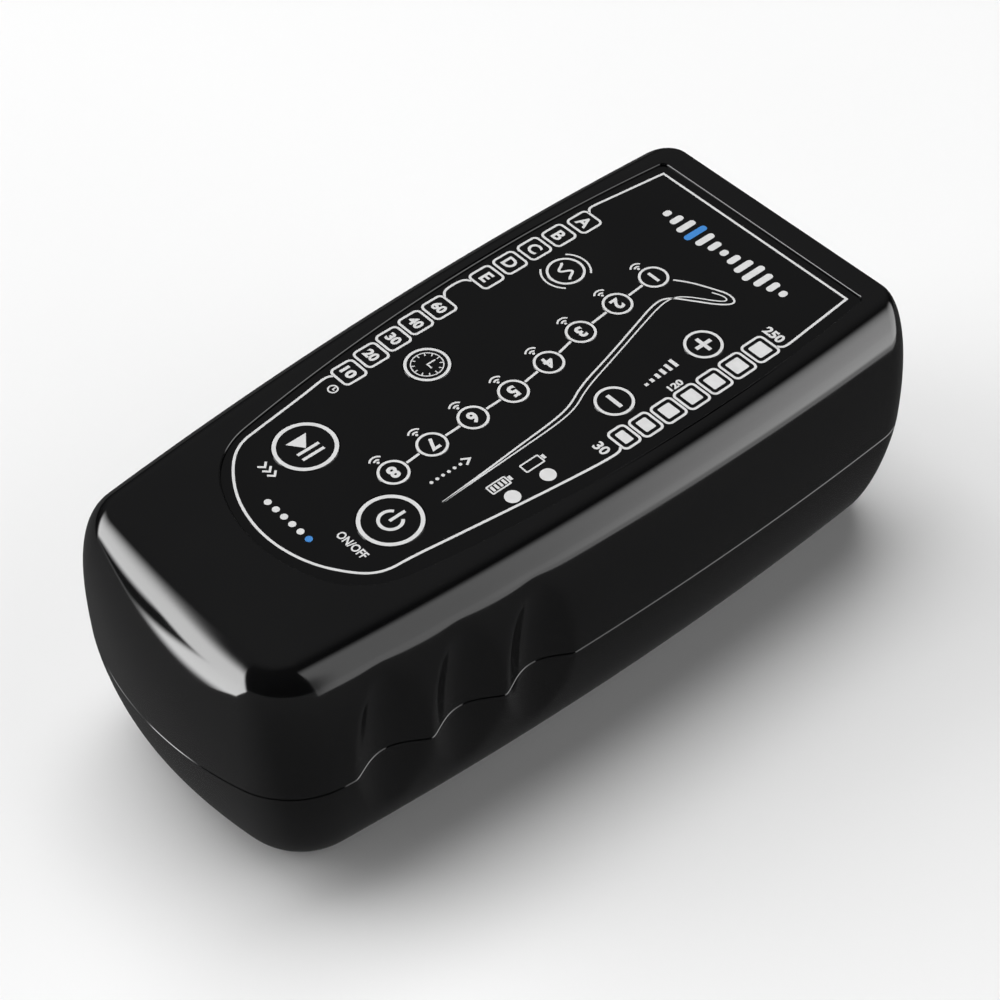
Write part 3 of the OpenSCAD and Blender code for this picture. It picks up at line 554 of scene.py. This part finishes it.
def upper_casing():
    shell = upper_shell()
    posts = [drilled("post", x, y, POST_R, SEAM_Z + LIP_GAP, DECK_LOW + ROOT) for x, y in POSTS]
    posts += [drilled("standoff", x, y, STANDOFF_R, BOARD_Z, DECK_LOW + ROOT) for x, y in STANDOFFS]
    cut(shell, posts, "UNION")
    holes = [drilled("screw_hole", x, y, SCREW_HOLE_R, SEAM_Z, SEAM_Z + SCREW_HOLE_H, SCREW_SIDES)
             for x, y in POSTS]
    holes += [drilled("pilot", x, y, PILOT_R, BOARD_Z - OVER, BOARD_Z + PILOT_H, SCREW_SIDES)
              for x, y in STANDOFFS]
    for x, y, r in map(key_circle, KEYS + CHANNELS):
        holes += [drilled("pocket", x, y, r + POCKET_GAP, POCKET_LOW, PANEL_TOP + 2 * OVER, KEY_SIDES),
                  drilled("stem_hole", x, y, STEM_HOLE_R, DECK_LOW - OVER, PANEL_TOP, STEM_SIDES)]
    cut(shell, holes)
    return dress(smooth(cut(shell, [socket_notch()])), "casing", "casing", ["upper_casing"])


def lower_shell():
    """Up the outside from the underside to the lip, then down the inside to the floor."""
    floor_z = LOW_Z + FLOOR_T
    outer = [casing_ring(GIRTH_Z - q * (GIRTH_Z - LOW_Z)) for q in rounded(LOW_N, LOW_STEPS)[::-1]]
    outer = [r for r in outer if r[0, 2] < SEAM_Z - REVEAL - EDGE_HOLD]
    tongue = WALL / 2 + LIP_FIT / 2
    lip = casing_rings([(SEAM_Z - REVEAL - EDGE_HOLD, 0), (SEAM_Z - REVEAL, 0), (SEAM_Z, REVEAL),
                        (SEAM_Z, tongue), (SEAM_Z + LIP_H, tongue), (SEAM_Z + LIP_H, WALL)])
    inner = [casing_ring(floor_z + (SEAM_Z - floor_z) * (i / INNER_STEPS) ** 1.6, WALL)
             for i in range(INNER_STEPS, -1, -1)]
    return loft("lower_casing_shell", [casing_ring(LOW_Z, FLAT_INSET)] + outer + lip + inner)


def grille_slots():
    """Slots through the floor, along the intake filter above them."""
    low, high = box_of("intake_filter")
    slots = []
    for i in range(GRILLE_SLOTS):
        x = (i - (GRILLE_SLOTS - 1) / 2) * GRILLE_PITCH
        slots.append(box_mesh("slot", (x - GRILLE_W / 2, low[1] + FILTER_MARGIN, LOW_Z - OVER),
                              (x + GRILLE_W / 2, high[1] - FILTER_MARGIN, LOW_Z + FLOOR_T + OVER)))
    return slots


def lower_casing():
    shell = lower_shell()
    cut(shell, [drilled("boss", x, y, BOSS_R, LOW_Z + ROOT, SEAM_Z) for x, y in POSTS], "UNION")
    well = [(WELL_MOUTH_R, LOW_Z - OVER), (WELL_MOUTH_R, LOW_Z), (WELL_R, LOW_Z + WELL_CHAMFER),
            (WELL_R, WELL_TOP)]
    holes = []
    for x, y in POSTS:
        holes += [turned("well", x, y, well),
                  drilled("shank", x, y, SHANK_HOLE_R, LOW_Z + OVER, SEAM_Z + 3 * OVER, STEM_SIDES)]
    holes += [drilled("foot_seat", x, y, FOOT_SEAT_R, LOW_Z - OVER, LOW_Z + FOOT_SEAT)
              for x, y in FEET]
    holes += grille_slots()
    jack = centre_of("charge_jack")
    jack_hole = drilled("jack_hole", 0, 0, JACK_HOLE_R, -JACK_HOLE_IN, JACK_HOLE_OUT)
    holes.append(lay_along_y(jack_hole, jack[0], REAR_Y, jack[2]))
    cut(shell, holes)
    return dress(smooth(cut(shell, [socket_notch()])), "casing", "casing", ["lower_casing"])


# ---------------------------------------------------------------- panel and keys
def key_panel():
    """The glossy sheet, with a hole for each key."""
    chamfer = 0.1
    sheet = loft("panel_sheet", [panel_ring(PANEL_LOW, 0), panel_ring(PANEL_TOP - chamfer, 0),
                                 panel_ring(PANEL_TOP, -chamfer)])
    holes = [drilled("key_hole", x, y, r + KEY_GAP, PANEL_LOW - OVER, PANEL_TOP + OVER, KEY_SIDES)
             for x, y, r in map(key_circle, KEYS + CHANNELS)]
    return dress(smooth(cut(sheet, holes), 30), "panel", "casing", ["key_panel"])


def key_cap(key):
    """A round key on its stem."""
    x, y, r = key_circle(key)
    low, top = (end[2] for end in box_of(key))
    cap = turned(key + "_cap", x, y, [(STEM_R, low), (STEM_R, top - KEY_T), (r, top - KEY_T),
                                      (r, top - KEY_BEVEL), (r - KEY_BEVEL, top)], KEY_SIDES)
    return dress(smooth(cap, 30), "panel", key, [key])


# ---------------------------------------------------------------- print
INK_T, INK_SUNK = 0.03, 0.01  # above the panel's face and below it
LINE = 0.8


def unit(vectors):
    return vectors / np.linalg.norm(vectors, axis=1)[:, None]


def glyphs(words, bold):
    """Flat glyphs: their corners, the corner numbers of their faces, and their outer edges."""
    curve = bpy.data.curves.new("glyphs", "FONT")
    curve.body, curve.size, curve.offset = words, 1, bold
    curve.resolution_u = 4
    obj = new_object("glyphs", curve)
    mesh = evaluated_mesh(obj)
    bpy.data.objects.remove(obj)
    flat = bmesh.new()
    flat.from_mesh(mesh)
    bpy.data.meshes.remove(mesh)
    bmesh.ops.remove_doubles(flat, verts=flat.verts, dist=1e-5)
    flat.verts.index_update()
    corners = np.array([v.co[:2] for v in flat.verts])
    tops = [tuple(v.index for v in f.verts) for f in flat.faces]
    edges = [(l.vert.index, l.link_loop_next.vert.index) for f in flat.faces for l in f.loops
             if len(l.edge.link_faces) == 1]
    flat.free()
    return corners, tops, edges


class Print:
    """Ink shapes gathered into one thin mesh that lies on the panel or on a key."""

    def __init__(self, origin=(0, PRINT_Y)):
        self.bm = bmesh.new()
        self.origin = origin

    def solid(self, corners, tops, edges):
        """Adds a slab: its corners from above, the corner numbers of its top faces, and its rim."""
        top = [self.bm.verts.new(((x + self.origin[0]) * MM, (y + self.origin[1]) * MM,
                                  (PANEL_TOP + INK_T) * MM)) for x, y in corners]
        low = [self.bm.verts.new((v.co.x, v.co.y, (PANEL_TOP - INK_SUNK) * MM)) for v in top]
        for f in tops:
            self.bm.faces.new([top[i] for i in f])
            self.bm.faces.new([low[i] for i in reversed(f)])
        for i, j in edges:
            self.bm.faces.new([top[j], top[i], low[i], low[j]])

    def line(self, points, width=LINE, closed=False):
        """A line of even width, mitred at its corners."""
        p = np.array(points, float)
        if closed:
            before, after = np.roll(p, 1, 0), np.roll(p, -1, 0)
        else:
            before = np.vstack([2 * p[0] - p[1], p[:-1]])
            after = np.vstack([p[1:], 2 * p[-1] - p[-2]])
        d0, d1 = unit(p - before), unit(after - p)
        t = unit(d0 + d1)
        n, n0 = np.stack([-t[:, 1], t[:, 0]], 1), np.stack([-d0[:, 1], d0[:, 0]], 1)
        side = n * (width / 2 / np.maximum(0.4, (n * n0).sum(1)))[:, None]
        k = len(p)
        spans = [(i, (i + 1) % k) for i in range(k if closed else k - 1)]
        tops = [(i, k + i, k + j, j) for i, j in spans]
        edges = [(j, i) for i, j in spans] + [(k + i, k + j) for i, j in spans]
        if not closed:
            edges += [(0, k), (2 * k - 1, k - 1)]
        self.solid(np.vstack([p + side, p - side]), tops, edges)

    def patch(self, points):
        """A filled outline, its corners given anticlockwise."""
        k = len(points)
        self.solid(points, [tuple(range(k))], [(i, (i + 1) % k) for i in range(k)])

    def ring(self, x, y, outer, width=LINE, n=72):
        self.line(arc((x, y), outer - width / 2, 0, 2 * math.pi, n, last=False), width, closed=True)

    def bow(self, x, y, r, middle, half, width, n):
        """An arc, half its angle to either side of the middle one, in degrees."""
        start, end = math.radians(middle - half), math.radians(middle + half)
        self.line(arc((x, y), r, start, end, n), width)

    def dot(self, x, y, r, n=40):
        self.patch(arc((x, y), r, 0, 2 * math.pi, n, last=False))

    def bar(self, x, y, w, h):
        self.patch([(x - w / 2, y - h / 2), (x + w / 2, y - h / 2),
                    (x + w / 2, y + h / 2), (x - w / 2, y + h / 2)])

    def frame(self, x, y, w, h, r=1.5, width=LINE):
        """A rounded box drawn as a line, w and h over all."""
        self.line(round_box(x, y, w - width, h - width, r), width, closed=True)

    def text(self, words, x, y, height, turn=0, width=None, bold=0.0):
        """Numbers or letters centred on a place, turned anticlockwise by degrees."""
        corners, tops, edges = glyphs(words, bold)
        low, size = corners.min(0), corners.max(0) - corners.min(0)
        scale = np.array([(width or height * size[0] / size[1]) / size[0], height / size[1]])
        c, s = math.cos(math.radians(turn)), math.sin(math.radians(turn))
        flat = (corners - low - size / 2) * scale @ np.array([[c, s], [-s, c]]) + (x, y)
        self.solid(flat, tops, edges)

    def make(self, name, body, material=INK):
        mesh = bpy.data.meshes.new(name)
        bmesh.ops.recalc_face_normals(self.bm, faces=self.bm.faces)
        self.bm.to_mesh(mesh)
        self.bm.free()
        return dress(new_object(name, mesh), "panel", body, material=material)


def round_box(x, y, w, h, r, steps=6):
    """The outline of a box with corners of radius r."""
    corners = [(x + w / 2 - r, y + h / 2 - r), (x - w / 2 + r, y + h / 2 - r),
               (x - w / 2 + r, y - h / 2 + r), (x + w / 2 - r, y - h / 2 + r)]
    return np.vstack([arc(c, r, q * math.pi / 2, (q + 1) * math.pi / 2, steps)
                      for q, c in enumerate(corners)])


def eased(points, rounds=4):
    """An open line with its corners cut smooth, ends kept."""
    p = np.array(points, float)
    for _ in range(rounds):
        a, b = 0.75 * p[:-1] + 0.25 * p[1:], 0.25 * p[:-1] + 0.75 * p[1:]
        p = np.vstack([p[:1], np.stack([a, b], 1).reshape(-1, 2)[1:-1], p[-1:]])
    return p


MODE_BOXES = [(-38.4, -34.5), (-39, -44.5), (-39.4, -54.2), (-39.5, -64), (-39.3, -73.6)]
TIME_BOXES = [(-38.5, -92.9), (-38.1, -102.3), (-37.1, -111.6), (-36.1, -120.8), (-34.8, -130.2)]
PRESSURE_BOXES = [(36.9, -34.8, 9.3, 9.1), (37.2, -44.6, 9.2, 9), (37.4, -54.1, 9, 8.6),
                  (37.5, -63.3, 9, 8.6), (37.2, -72.2, 8.9, 8.5), (36.9, -80.9, 8.8, 7.7),
                  (36.4, -88.8, 8.8, 7.1)]  # x, y, width and height, as the lights get smaller
BOX_W, BOX_FILL_RIM = 8.7, 4.0
PULSE = (3, 5, 7.4, 9, 7.4, 5, 3, 5, 7.4, 9, 7.4, 5, 3)  # bar heights of the mark at the square end
PULSE_X, PULSE_Y, PULSE_PITCH, PULSE_W, BLUE_BAR = -24.5, -12.5, 4.1, 2.3, 3
DOTS, DOTS_X, DOTS_Y, DOTS_PITCH, DOTS_R = 6, -10.0, -178.6, 3.6, 1.1  # the last one is blue


def frame_line(p):
    """The line around the panel, in three runs between the rows of boxes."""
    p.line(np.vstack([eased([(-40.6, -30.3), (-42.3, -28.9), (-42.1, -26)]), [(-39, 0), (38.7, 0)],
                      eased([(40.7, -26), (40.8, -28.9), (39.2, -30.3)])]))
    p.line(eased([(-41, -78), (-43.4, -79.6), (-43.4, -87), (-41, -88.6)]))
    p.line(eased([(-36.6, -134.5), (-37.8, -136.4), (-36.3, -145), (-34, -163), (-32.8, -171.5),
                  (-26.5, -178.5), (-15, -185), (0, -187.4), (15, -184.2), (26.5, -176.6),
                  (30.6, -170.6), (31.2, -162), (33, -150), (37.5, -118), (40.2, -94),
                  (38.6, -92.4)]))


def light_boxes(p):
    """Letters for the modes, minutes for the times, and filled squares for the pressures."""
    for letter, (x, y) in zip("ABCDE", MODE_BOXES):
        p.frame(x, y, BOX_W, BOX_W)
        p.text(letter, x, y, 4.4, bold=0.03)
    for number, (x, y) in zip((60, 40, 30, 20, 10), TIME_BOXES):
        p.frame(x, y, BOX_W, BOX_W)
        p.text(str(number), x, y, 3.6, width=4.8, bold=0.045)
    for x, y, w, h in PRESSURE_BOXES:
        p.frame(x, y, w, h)
        p.patch(round_box(x, y, w - BOX_FILL_RIM, h - BOX_FILL_RIM, 0.4, 3))
    p.text("250", 35.2, -27.3, 3.5, width=7, bold=0.04)
    p.text("120", 31.1, -63.6, 2.4, turn=90, width=5.2, bold=0.04)
    p.text("30", 35.4, -96.5, 3.5, width=4.8, bold=0.03)


def channel_chain(p, at):
    """Lines from each channel key to the next, and a small wave sign beside each key."""
    for a, b in zip(CHANNELS, CHANNELS[1:]):
        d = (at[b] - at[a]) / np.linalg.norm(at[b] - at[a])
        gap = key_circle(a)[2] + KEY_GAP + 0.03
        p.line([at[a] + d * gap, at[b] - d * gap])
    for c in CHANNELS:
        x, y = at[c] - (5.6, 0.9)
        for r in (1.1, 2.4):
            p.bow(x, y, r, 180, 55, 0.6, 12)
        p.dot(x, y, 0.45, 16)


def leg(p):
    """A leg's outline in two lines: toes at the square end, sole, heel, calf, knee and thigh."""
    p.line(eased([(-1.4, -32.6), (3, -29.4), (9.5, -26.4), (14.5, -24.4), (18.4, -25.8),
                  (16.2, -29.6), (9, -34.8), (2.8, -39.4), (2.4, -44.5), (5.2, -54), (9.6, -69),
                  (13.4, -84), (17.2, -91.5), (18.6, -99), (19.4, -112), (20.6, -127),
                  (21.6, -143)]), 0.6)
    p.line(eased([(10.2, -27.9), (14.2, -26.2), (16, -27.2), (13.8, -29.6), (7.4, -34),
                  (4.2, -37.6), (4, -43), (6.8, -53.4), (11.2, -68.6), (15.2, -83.4), (19, -91.2),
                  (20.2, -99), (20.7, -112), (21.2, -127), (21.7, -143)]), 0.45)


def batteries(p):
    """An empty and a full battery, and the lamp beside each."""
    for y, bars in ((-115, 0), (-127.4, 4)):
        p.frame(27, y, 3.6, 7, 0.3, 0.5)
        p.bar(27, y + 4.2, 1.7, 1)
        for i in range(bars):
            p.bar(27, y - 2.1 + 1.4 * i, 2, 0.8)
    p.dot(33, -114.5, 2.4)
    p.dot(32.7, -127.3, 2.4)


def small_signs(p):
    """Signs beside the keys: rising steps, a dotted pointer, a clock, chevrons and ON/OFF."""
    for i in range(6):
        length = 1 + 0.5 * i
        p.bar(26 - length / 2, -69.6 + 2.4 * i, length, 1.2)
    for i in range(6):
        p.dot(14, -140.5 + 2.1 * i, 0.55, 16)
    p.line([(12.6, -128.8), (14, -126.6), (15.4, -128.8)], 0.7)
    p.ring(-32.5, -137.9, 1.7, 0.5, 32)
    p.line([(-32.5, -136.9), (-32.5, -138), (-31.8, -138)], 0.4)
    for i in range(3):
        x = -22.4 + 2.2 * i
        p.line([(x, -169.7), (x + 1.5, -171.2), (x, -172.7)], 0.7)
    p.text("ON/OFF", 17.4, -171.2, 2.8, width=11.5, bold=0.025)


def pulse_bar(p, i):
    p.patch(round_box(PULSE_X + PULSE_PITCH * i, PULSE_Y, PULSE_W, PULSE[i], 1.1))


def row_dot(p, i):
    p.dot(DOTS_X + DOTS_PITCH * i, DOTS_Y, DOTS_R, 24)


def panel_print():
    """All print on the sheet, in white but for one pulse bar and one dot in blue."""
    p = Print()
    at = {k: np.array(key_circle(k)[:2]) - (0, PRINT_Y) for k in KEYS + CHANNELS}
    frame_line(p)
    light_boxes(p)
    channel_chain(p, at)
    leg(p)
    batteries(p)
    small_signs(p)
    for middle in (90, -90):
        p.bow(*at["mode_key"], 7.6, middle, 48, 0.6, 28)
    for i in range(len(PULSE)):
        if i != BLUE_BAR:
            pulse_bar(p, i)
    for i in range(DOTS - 1):
        row_dot(p, i)
    p.make("panel_print", "casing")
    blue = Print()
    pulse_bar(blue, BLUE_BAR)
    row_dot(blue, DOTS - 1)
    blue.make("panel_print_blue", "casing", BLUE_INK)


def channel_sign(p, number):
    p.ring(0, 0, 4.7)
    p.text(str(number), 0, 0, 4.6, turn=-90, bold=0.04)


def power_sign(p):
    p.ring(0, 0, 9.4, 1.2, 96)
    p.bow(0, 0, 3.4, 270, 145, 1, 48)
    p.line([(0, 5.1), (0, -0.4)], 1)


def start_sign(p):
    p.ring(0, 0, 9.4, 1.2, 96)
    p.patch([(-4.1, -3.8), (0.6, -0.2), (-4.1, 3.4)])
    for x in (1.3, 3.7):
        p.bar(x, 0, 1, 7.6)


def time_sign(p):
    """A clock's face with its hour marks and hands."""
    p.ring(0, 0, 6.9, 0.9, 96)
    p.ring(0, 0, 5, 0.35, 96)
    for hour in range(12):
        a = math.radians(30 * hour)
        way = np.array([math.cos(a), math.sin(a)])
        p.line([4.6 * way, 3.6 * way], 0.35)
    p.line([(0, 3), (0, 0), (2, 0)], 0.5)


def mode_sign(p):
    """A ring with a wave in it."""
    p.ring(0, 0, 6)
    t = np.linspace(-1, 1, 33)
    p.line(np.stack([3.6 * t, 1.5 * np.sin(math.pi * 1.5 * t)], 1))


def minus_sign(p):
    p.ring(0, 0, 5.9, 0.9)
    p.bar(0, 0, 6, 1.3)


def plus_sign(p):
    minus_sign(p)
    for y in (1.85, -1.85):
        p.bar(0, y, 1.3, 2.3)


SIGNS = {"power_key": power_sign, "start_key": start_sign, "time_key": time_sign,
         "mode_key": mode_sign, "pressure_up_key": plus_sign, "pressure_down_key": minus_sign}


def key_prints():
    """Each key's ring and sign, riding on its own key."""
    for key in KEYS + CHANNELS:
        p = Print(key_circle(key)[:2])
        if key in CHANNELS:
            channel_sign(p, CHANNELS.index(key) + 1)
        else:
            SIGNS[key](p)
        p.make(key + "_print", key)


# ---------------------------------------------------------------- studio
# Lengths are in metres here, and angles in degrees.
PIXELS, FOCAL_PX = 1000, 2300  # the picture's width, and the focal length in its pixels
SENSOR = 36.0  # in millimetres
CAMERA_AT = Vector((0.3498, -0.3059, 0.550))
CAMERA_DIRECTION = Vector((-0.5079, 0.4494, -0.7349))
FLOOR_HALF = 6.0
LIGHT_FAR = 9.0
GAP_FADE = 0.08
BACKDROP = 0.9  # the pale wall that the camera sees past the floor
TABLE_GLOW = (0.045, 0.12)  # what reflects from straight below and from just under the horizon
HORIZON = 0.04  # the glow starts over this much below the horizon
PATCHES = {(150, 50): 0.08, (-125, -35): 0.055}  # glow of soft patches at an azimuth and elevation
PATCH_EDGE = 0.6  # cosine of the angle from a patch's middle at which it has faded out


def camera():
    data = bpy.data.cameras.new("camera")
    data.sensor_width, data.lens = SENSOR, FOCAL_PX / PIXELS * SENSOR
    data.clip_start = 0.01
    obj = new_object("camera", data)
    obj.location = CAMERA_AT
    obj.rotation_euler = CAMERA_DIRECTION.to_track_quat("-Z", "Y").to_euler()
    bpy.context.scene.camera = obj


def floor():
    """A plain pale floor. Reflections show the room's table glow in its place."""
    made, tree, shader = material("floor", (0.8, 0.8, 0.8), 0.9, Specular_IOR_Level=0.2)
    colour(tree, shader, spots(tree, 3, 2), (0.795, 0.795, 0.795), (0.805, 0.805, 0.805))
    corners = [(x * FLOOR_HALF, y * FLOOR_HALF, 0) for x, y in ((-1, -1), (1, -1), (1, 1), (-1, 1))]
    mesh = bpy.data.meshes.new("floor")
    mesh.from_pydata(corners, [], [(0, 1, 2, 3)])
    obj = new_object("floor", mesh)
    mesh.materials.append(made)
    obj.visible_glossy = False


def direction(azimuth, elevation):
    a, e = math.radians(azimuth), math.radians(elevation)
    return Vector((math.cos(e) * math.cos(a), math.cos(e) * math.sin(a), math.sin(e)))


def calculated(tree, operation, a, b):
    """A math node's result; a and b are numbers or other nodes' outputs."""
    node = add(tree, "ShaderNodeMath", operation=operation)
    for socket, value in zip(node.inputs, (a, b)):
        if isinstance(value, (int, float)):
            socket.default_value = value
        else:
            tree.links.new(value, socket)
    return node.outputs[0]


def within(tree, place, spans, fades):
    """1 inside a patch of the light and 0 outside it, with soft edges inside the patch."""
    level = 1
    for axis, start, end, low, high in (("X", *spans[:2], *fades[:2]), ("Y", *spans[2:], *fades[2:])):
        for edge, full in ((start, start + low), (end, end - high)):
            fade = spread(tree, place.outputs[axis], 0, 1, edge, full, "SMOOTHSTEP")
            level = calculated(tree, "MULTIPLY", level, fade)
    return level


def softbox(name, azimuth, elevation, half_width, half_height, radiance, edges, roll=0, gap=None):
    """A far rectangular light, its half sizes in degrees, fading at its left, right, low and high edges.

    A gap is a dark patch in it: where it starts and ends across and up, as shares of the light.
    """
    width, height = (2 * LIGHT_FAR * math.tan(math.radians(h)) for h in (half_width, half_height))
    data = bpy.data.lights.new(name, "AREA")
    data.shape, data.size, data.size_y = "RECTANGLE", width, height
    data.energy = radiance * math.pi * width * height
    data.use_nodes = True
    tree = data.node_tree
    place = add(tree, "ShaderNodeSeparateXYZ",
                [("Vector", add(tree, "ShaderNodeNewGeometry").outputs["Parametric"])])
    level = within(tree, place, (0, 1, 0, 1), edges)
    if gap:
        dark = within(tree, place, gap, [GAP_FADE] * 4)
        level = calculated(tree, "MULTIPLY", level, calculated(tree, "SUBTRACT", 1, dark))
    tree.links.new(level, tree.nodes["Emission"].inputs["Strength"])
    obj = new_object(name, data)
    at = direction(azimuth, elevation) * LIGHT_FAR
    obj.matrix_world = (Matrix.LocRotScale(at, at.to_track_quat("Z", "Y"), None)
                        @ Matrix.Rotation(math.radians(roll), 4, "Z"))
    return obj


def surroundings():
    """A pale backdrop, and for reflections a dim room: a glow off the table and two soft patches."""
    world = bpy.data.worlds.new("studio")
    bpy.context.scene.world = world
    world.use_nodes = True
    tree = world.node_tree
    way = add(tree, "ShaderNodeTexCoord").outputs["Generated"]
    height = add(tree, "ShaderNodeSeparateXYZ", [("Vector", way)]).outputs["Z"]
    table = spread(tree, height, *TABLE_GLOW, -1, 0)
    below = spread(tree, height, 0, 1, 0, -HORIZON, "SMOOTHSTEP")
    level = calculated(tree, "MULTIPLY", table, below)
    for place, glow in PATCHES.items():
        towards = add(tree, "ShaderNodeVectorMath", [(0, way)], operation="DOT_PRODUCT")
        towards.inputs[1].default_value = direction(*place)
        patch = spread(tree, towards.outputs["Value"], 0, glow, PATCH_EDGE, 1, "SMOOTHSTEP")
        level = calculated(tree, "ADD", level, patch)
    seen = add(tree, "ShaderNodeLightPath").outputs["Is Camera Ray"]
    shown = add(tree, "ShaderNodeMapRange", [("Value", seen), ("To Min", level)],
                **{"To Max": BACKDROP}).outputs["Result"]
    background = tree.nodes["Background"]
    tree.links.new(shown, background.inputs["Strength"])
    background.inputs["Color"].default_value = (1, 1, 1, 1)


def studio():
    """A large light overhead, one low on the left in front, and two dimmer ones behind on the right."""
    surroundings()
    overhead = softbox("overhead", 162, 72, half_width=29, half_height=17, radiance=5.95,
                       edges=(0.15, 0.15, 0.15, 0.15))
    overhead.visible_glossy = False
    softbox("front_left", -133, 21, half_width=18, half_height=45, radiance=5.9,
            edges=(0.24, 0.2, 0.02, 0.44), roll=45, gap=(0.02, 0.59, 0.26, 0.48))
    softbox("rear_right", 42, 20, half_width=31, half_height=37, radiance=0.95,
            edges=(0.03, 0.1, 0.02, 0.3), roll=-14)
    softbox("rear_right_glow", 46, 18, half_width=29, half_height=33, radiance=1.6,
            edges=(0.6, 0.1, 0.05, 0.5), roll=-14)
    view = bpy.context.scene.view_settings
    view.view_transform, view.look = "Standard", "None"


# ---------------------------------------------------------------- build
dress_solids()
camera()
upper_casing()
lower_casing()
key_panel()
for name in KEYS + CHANNELS:
    key_cap(name)
panel_print()
key_prints()
floor()
studio()
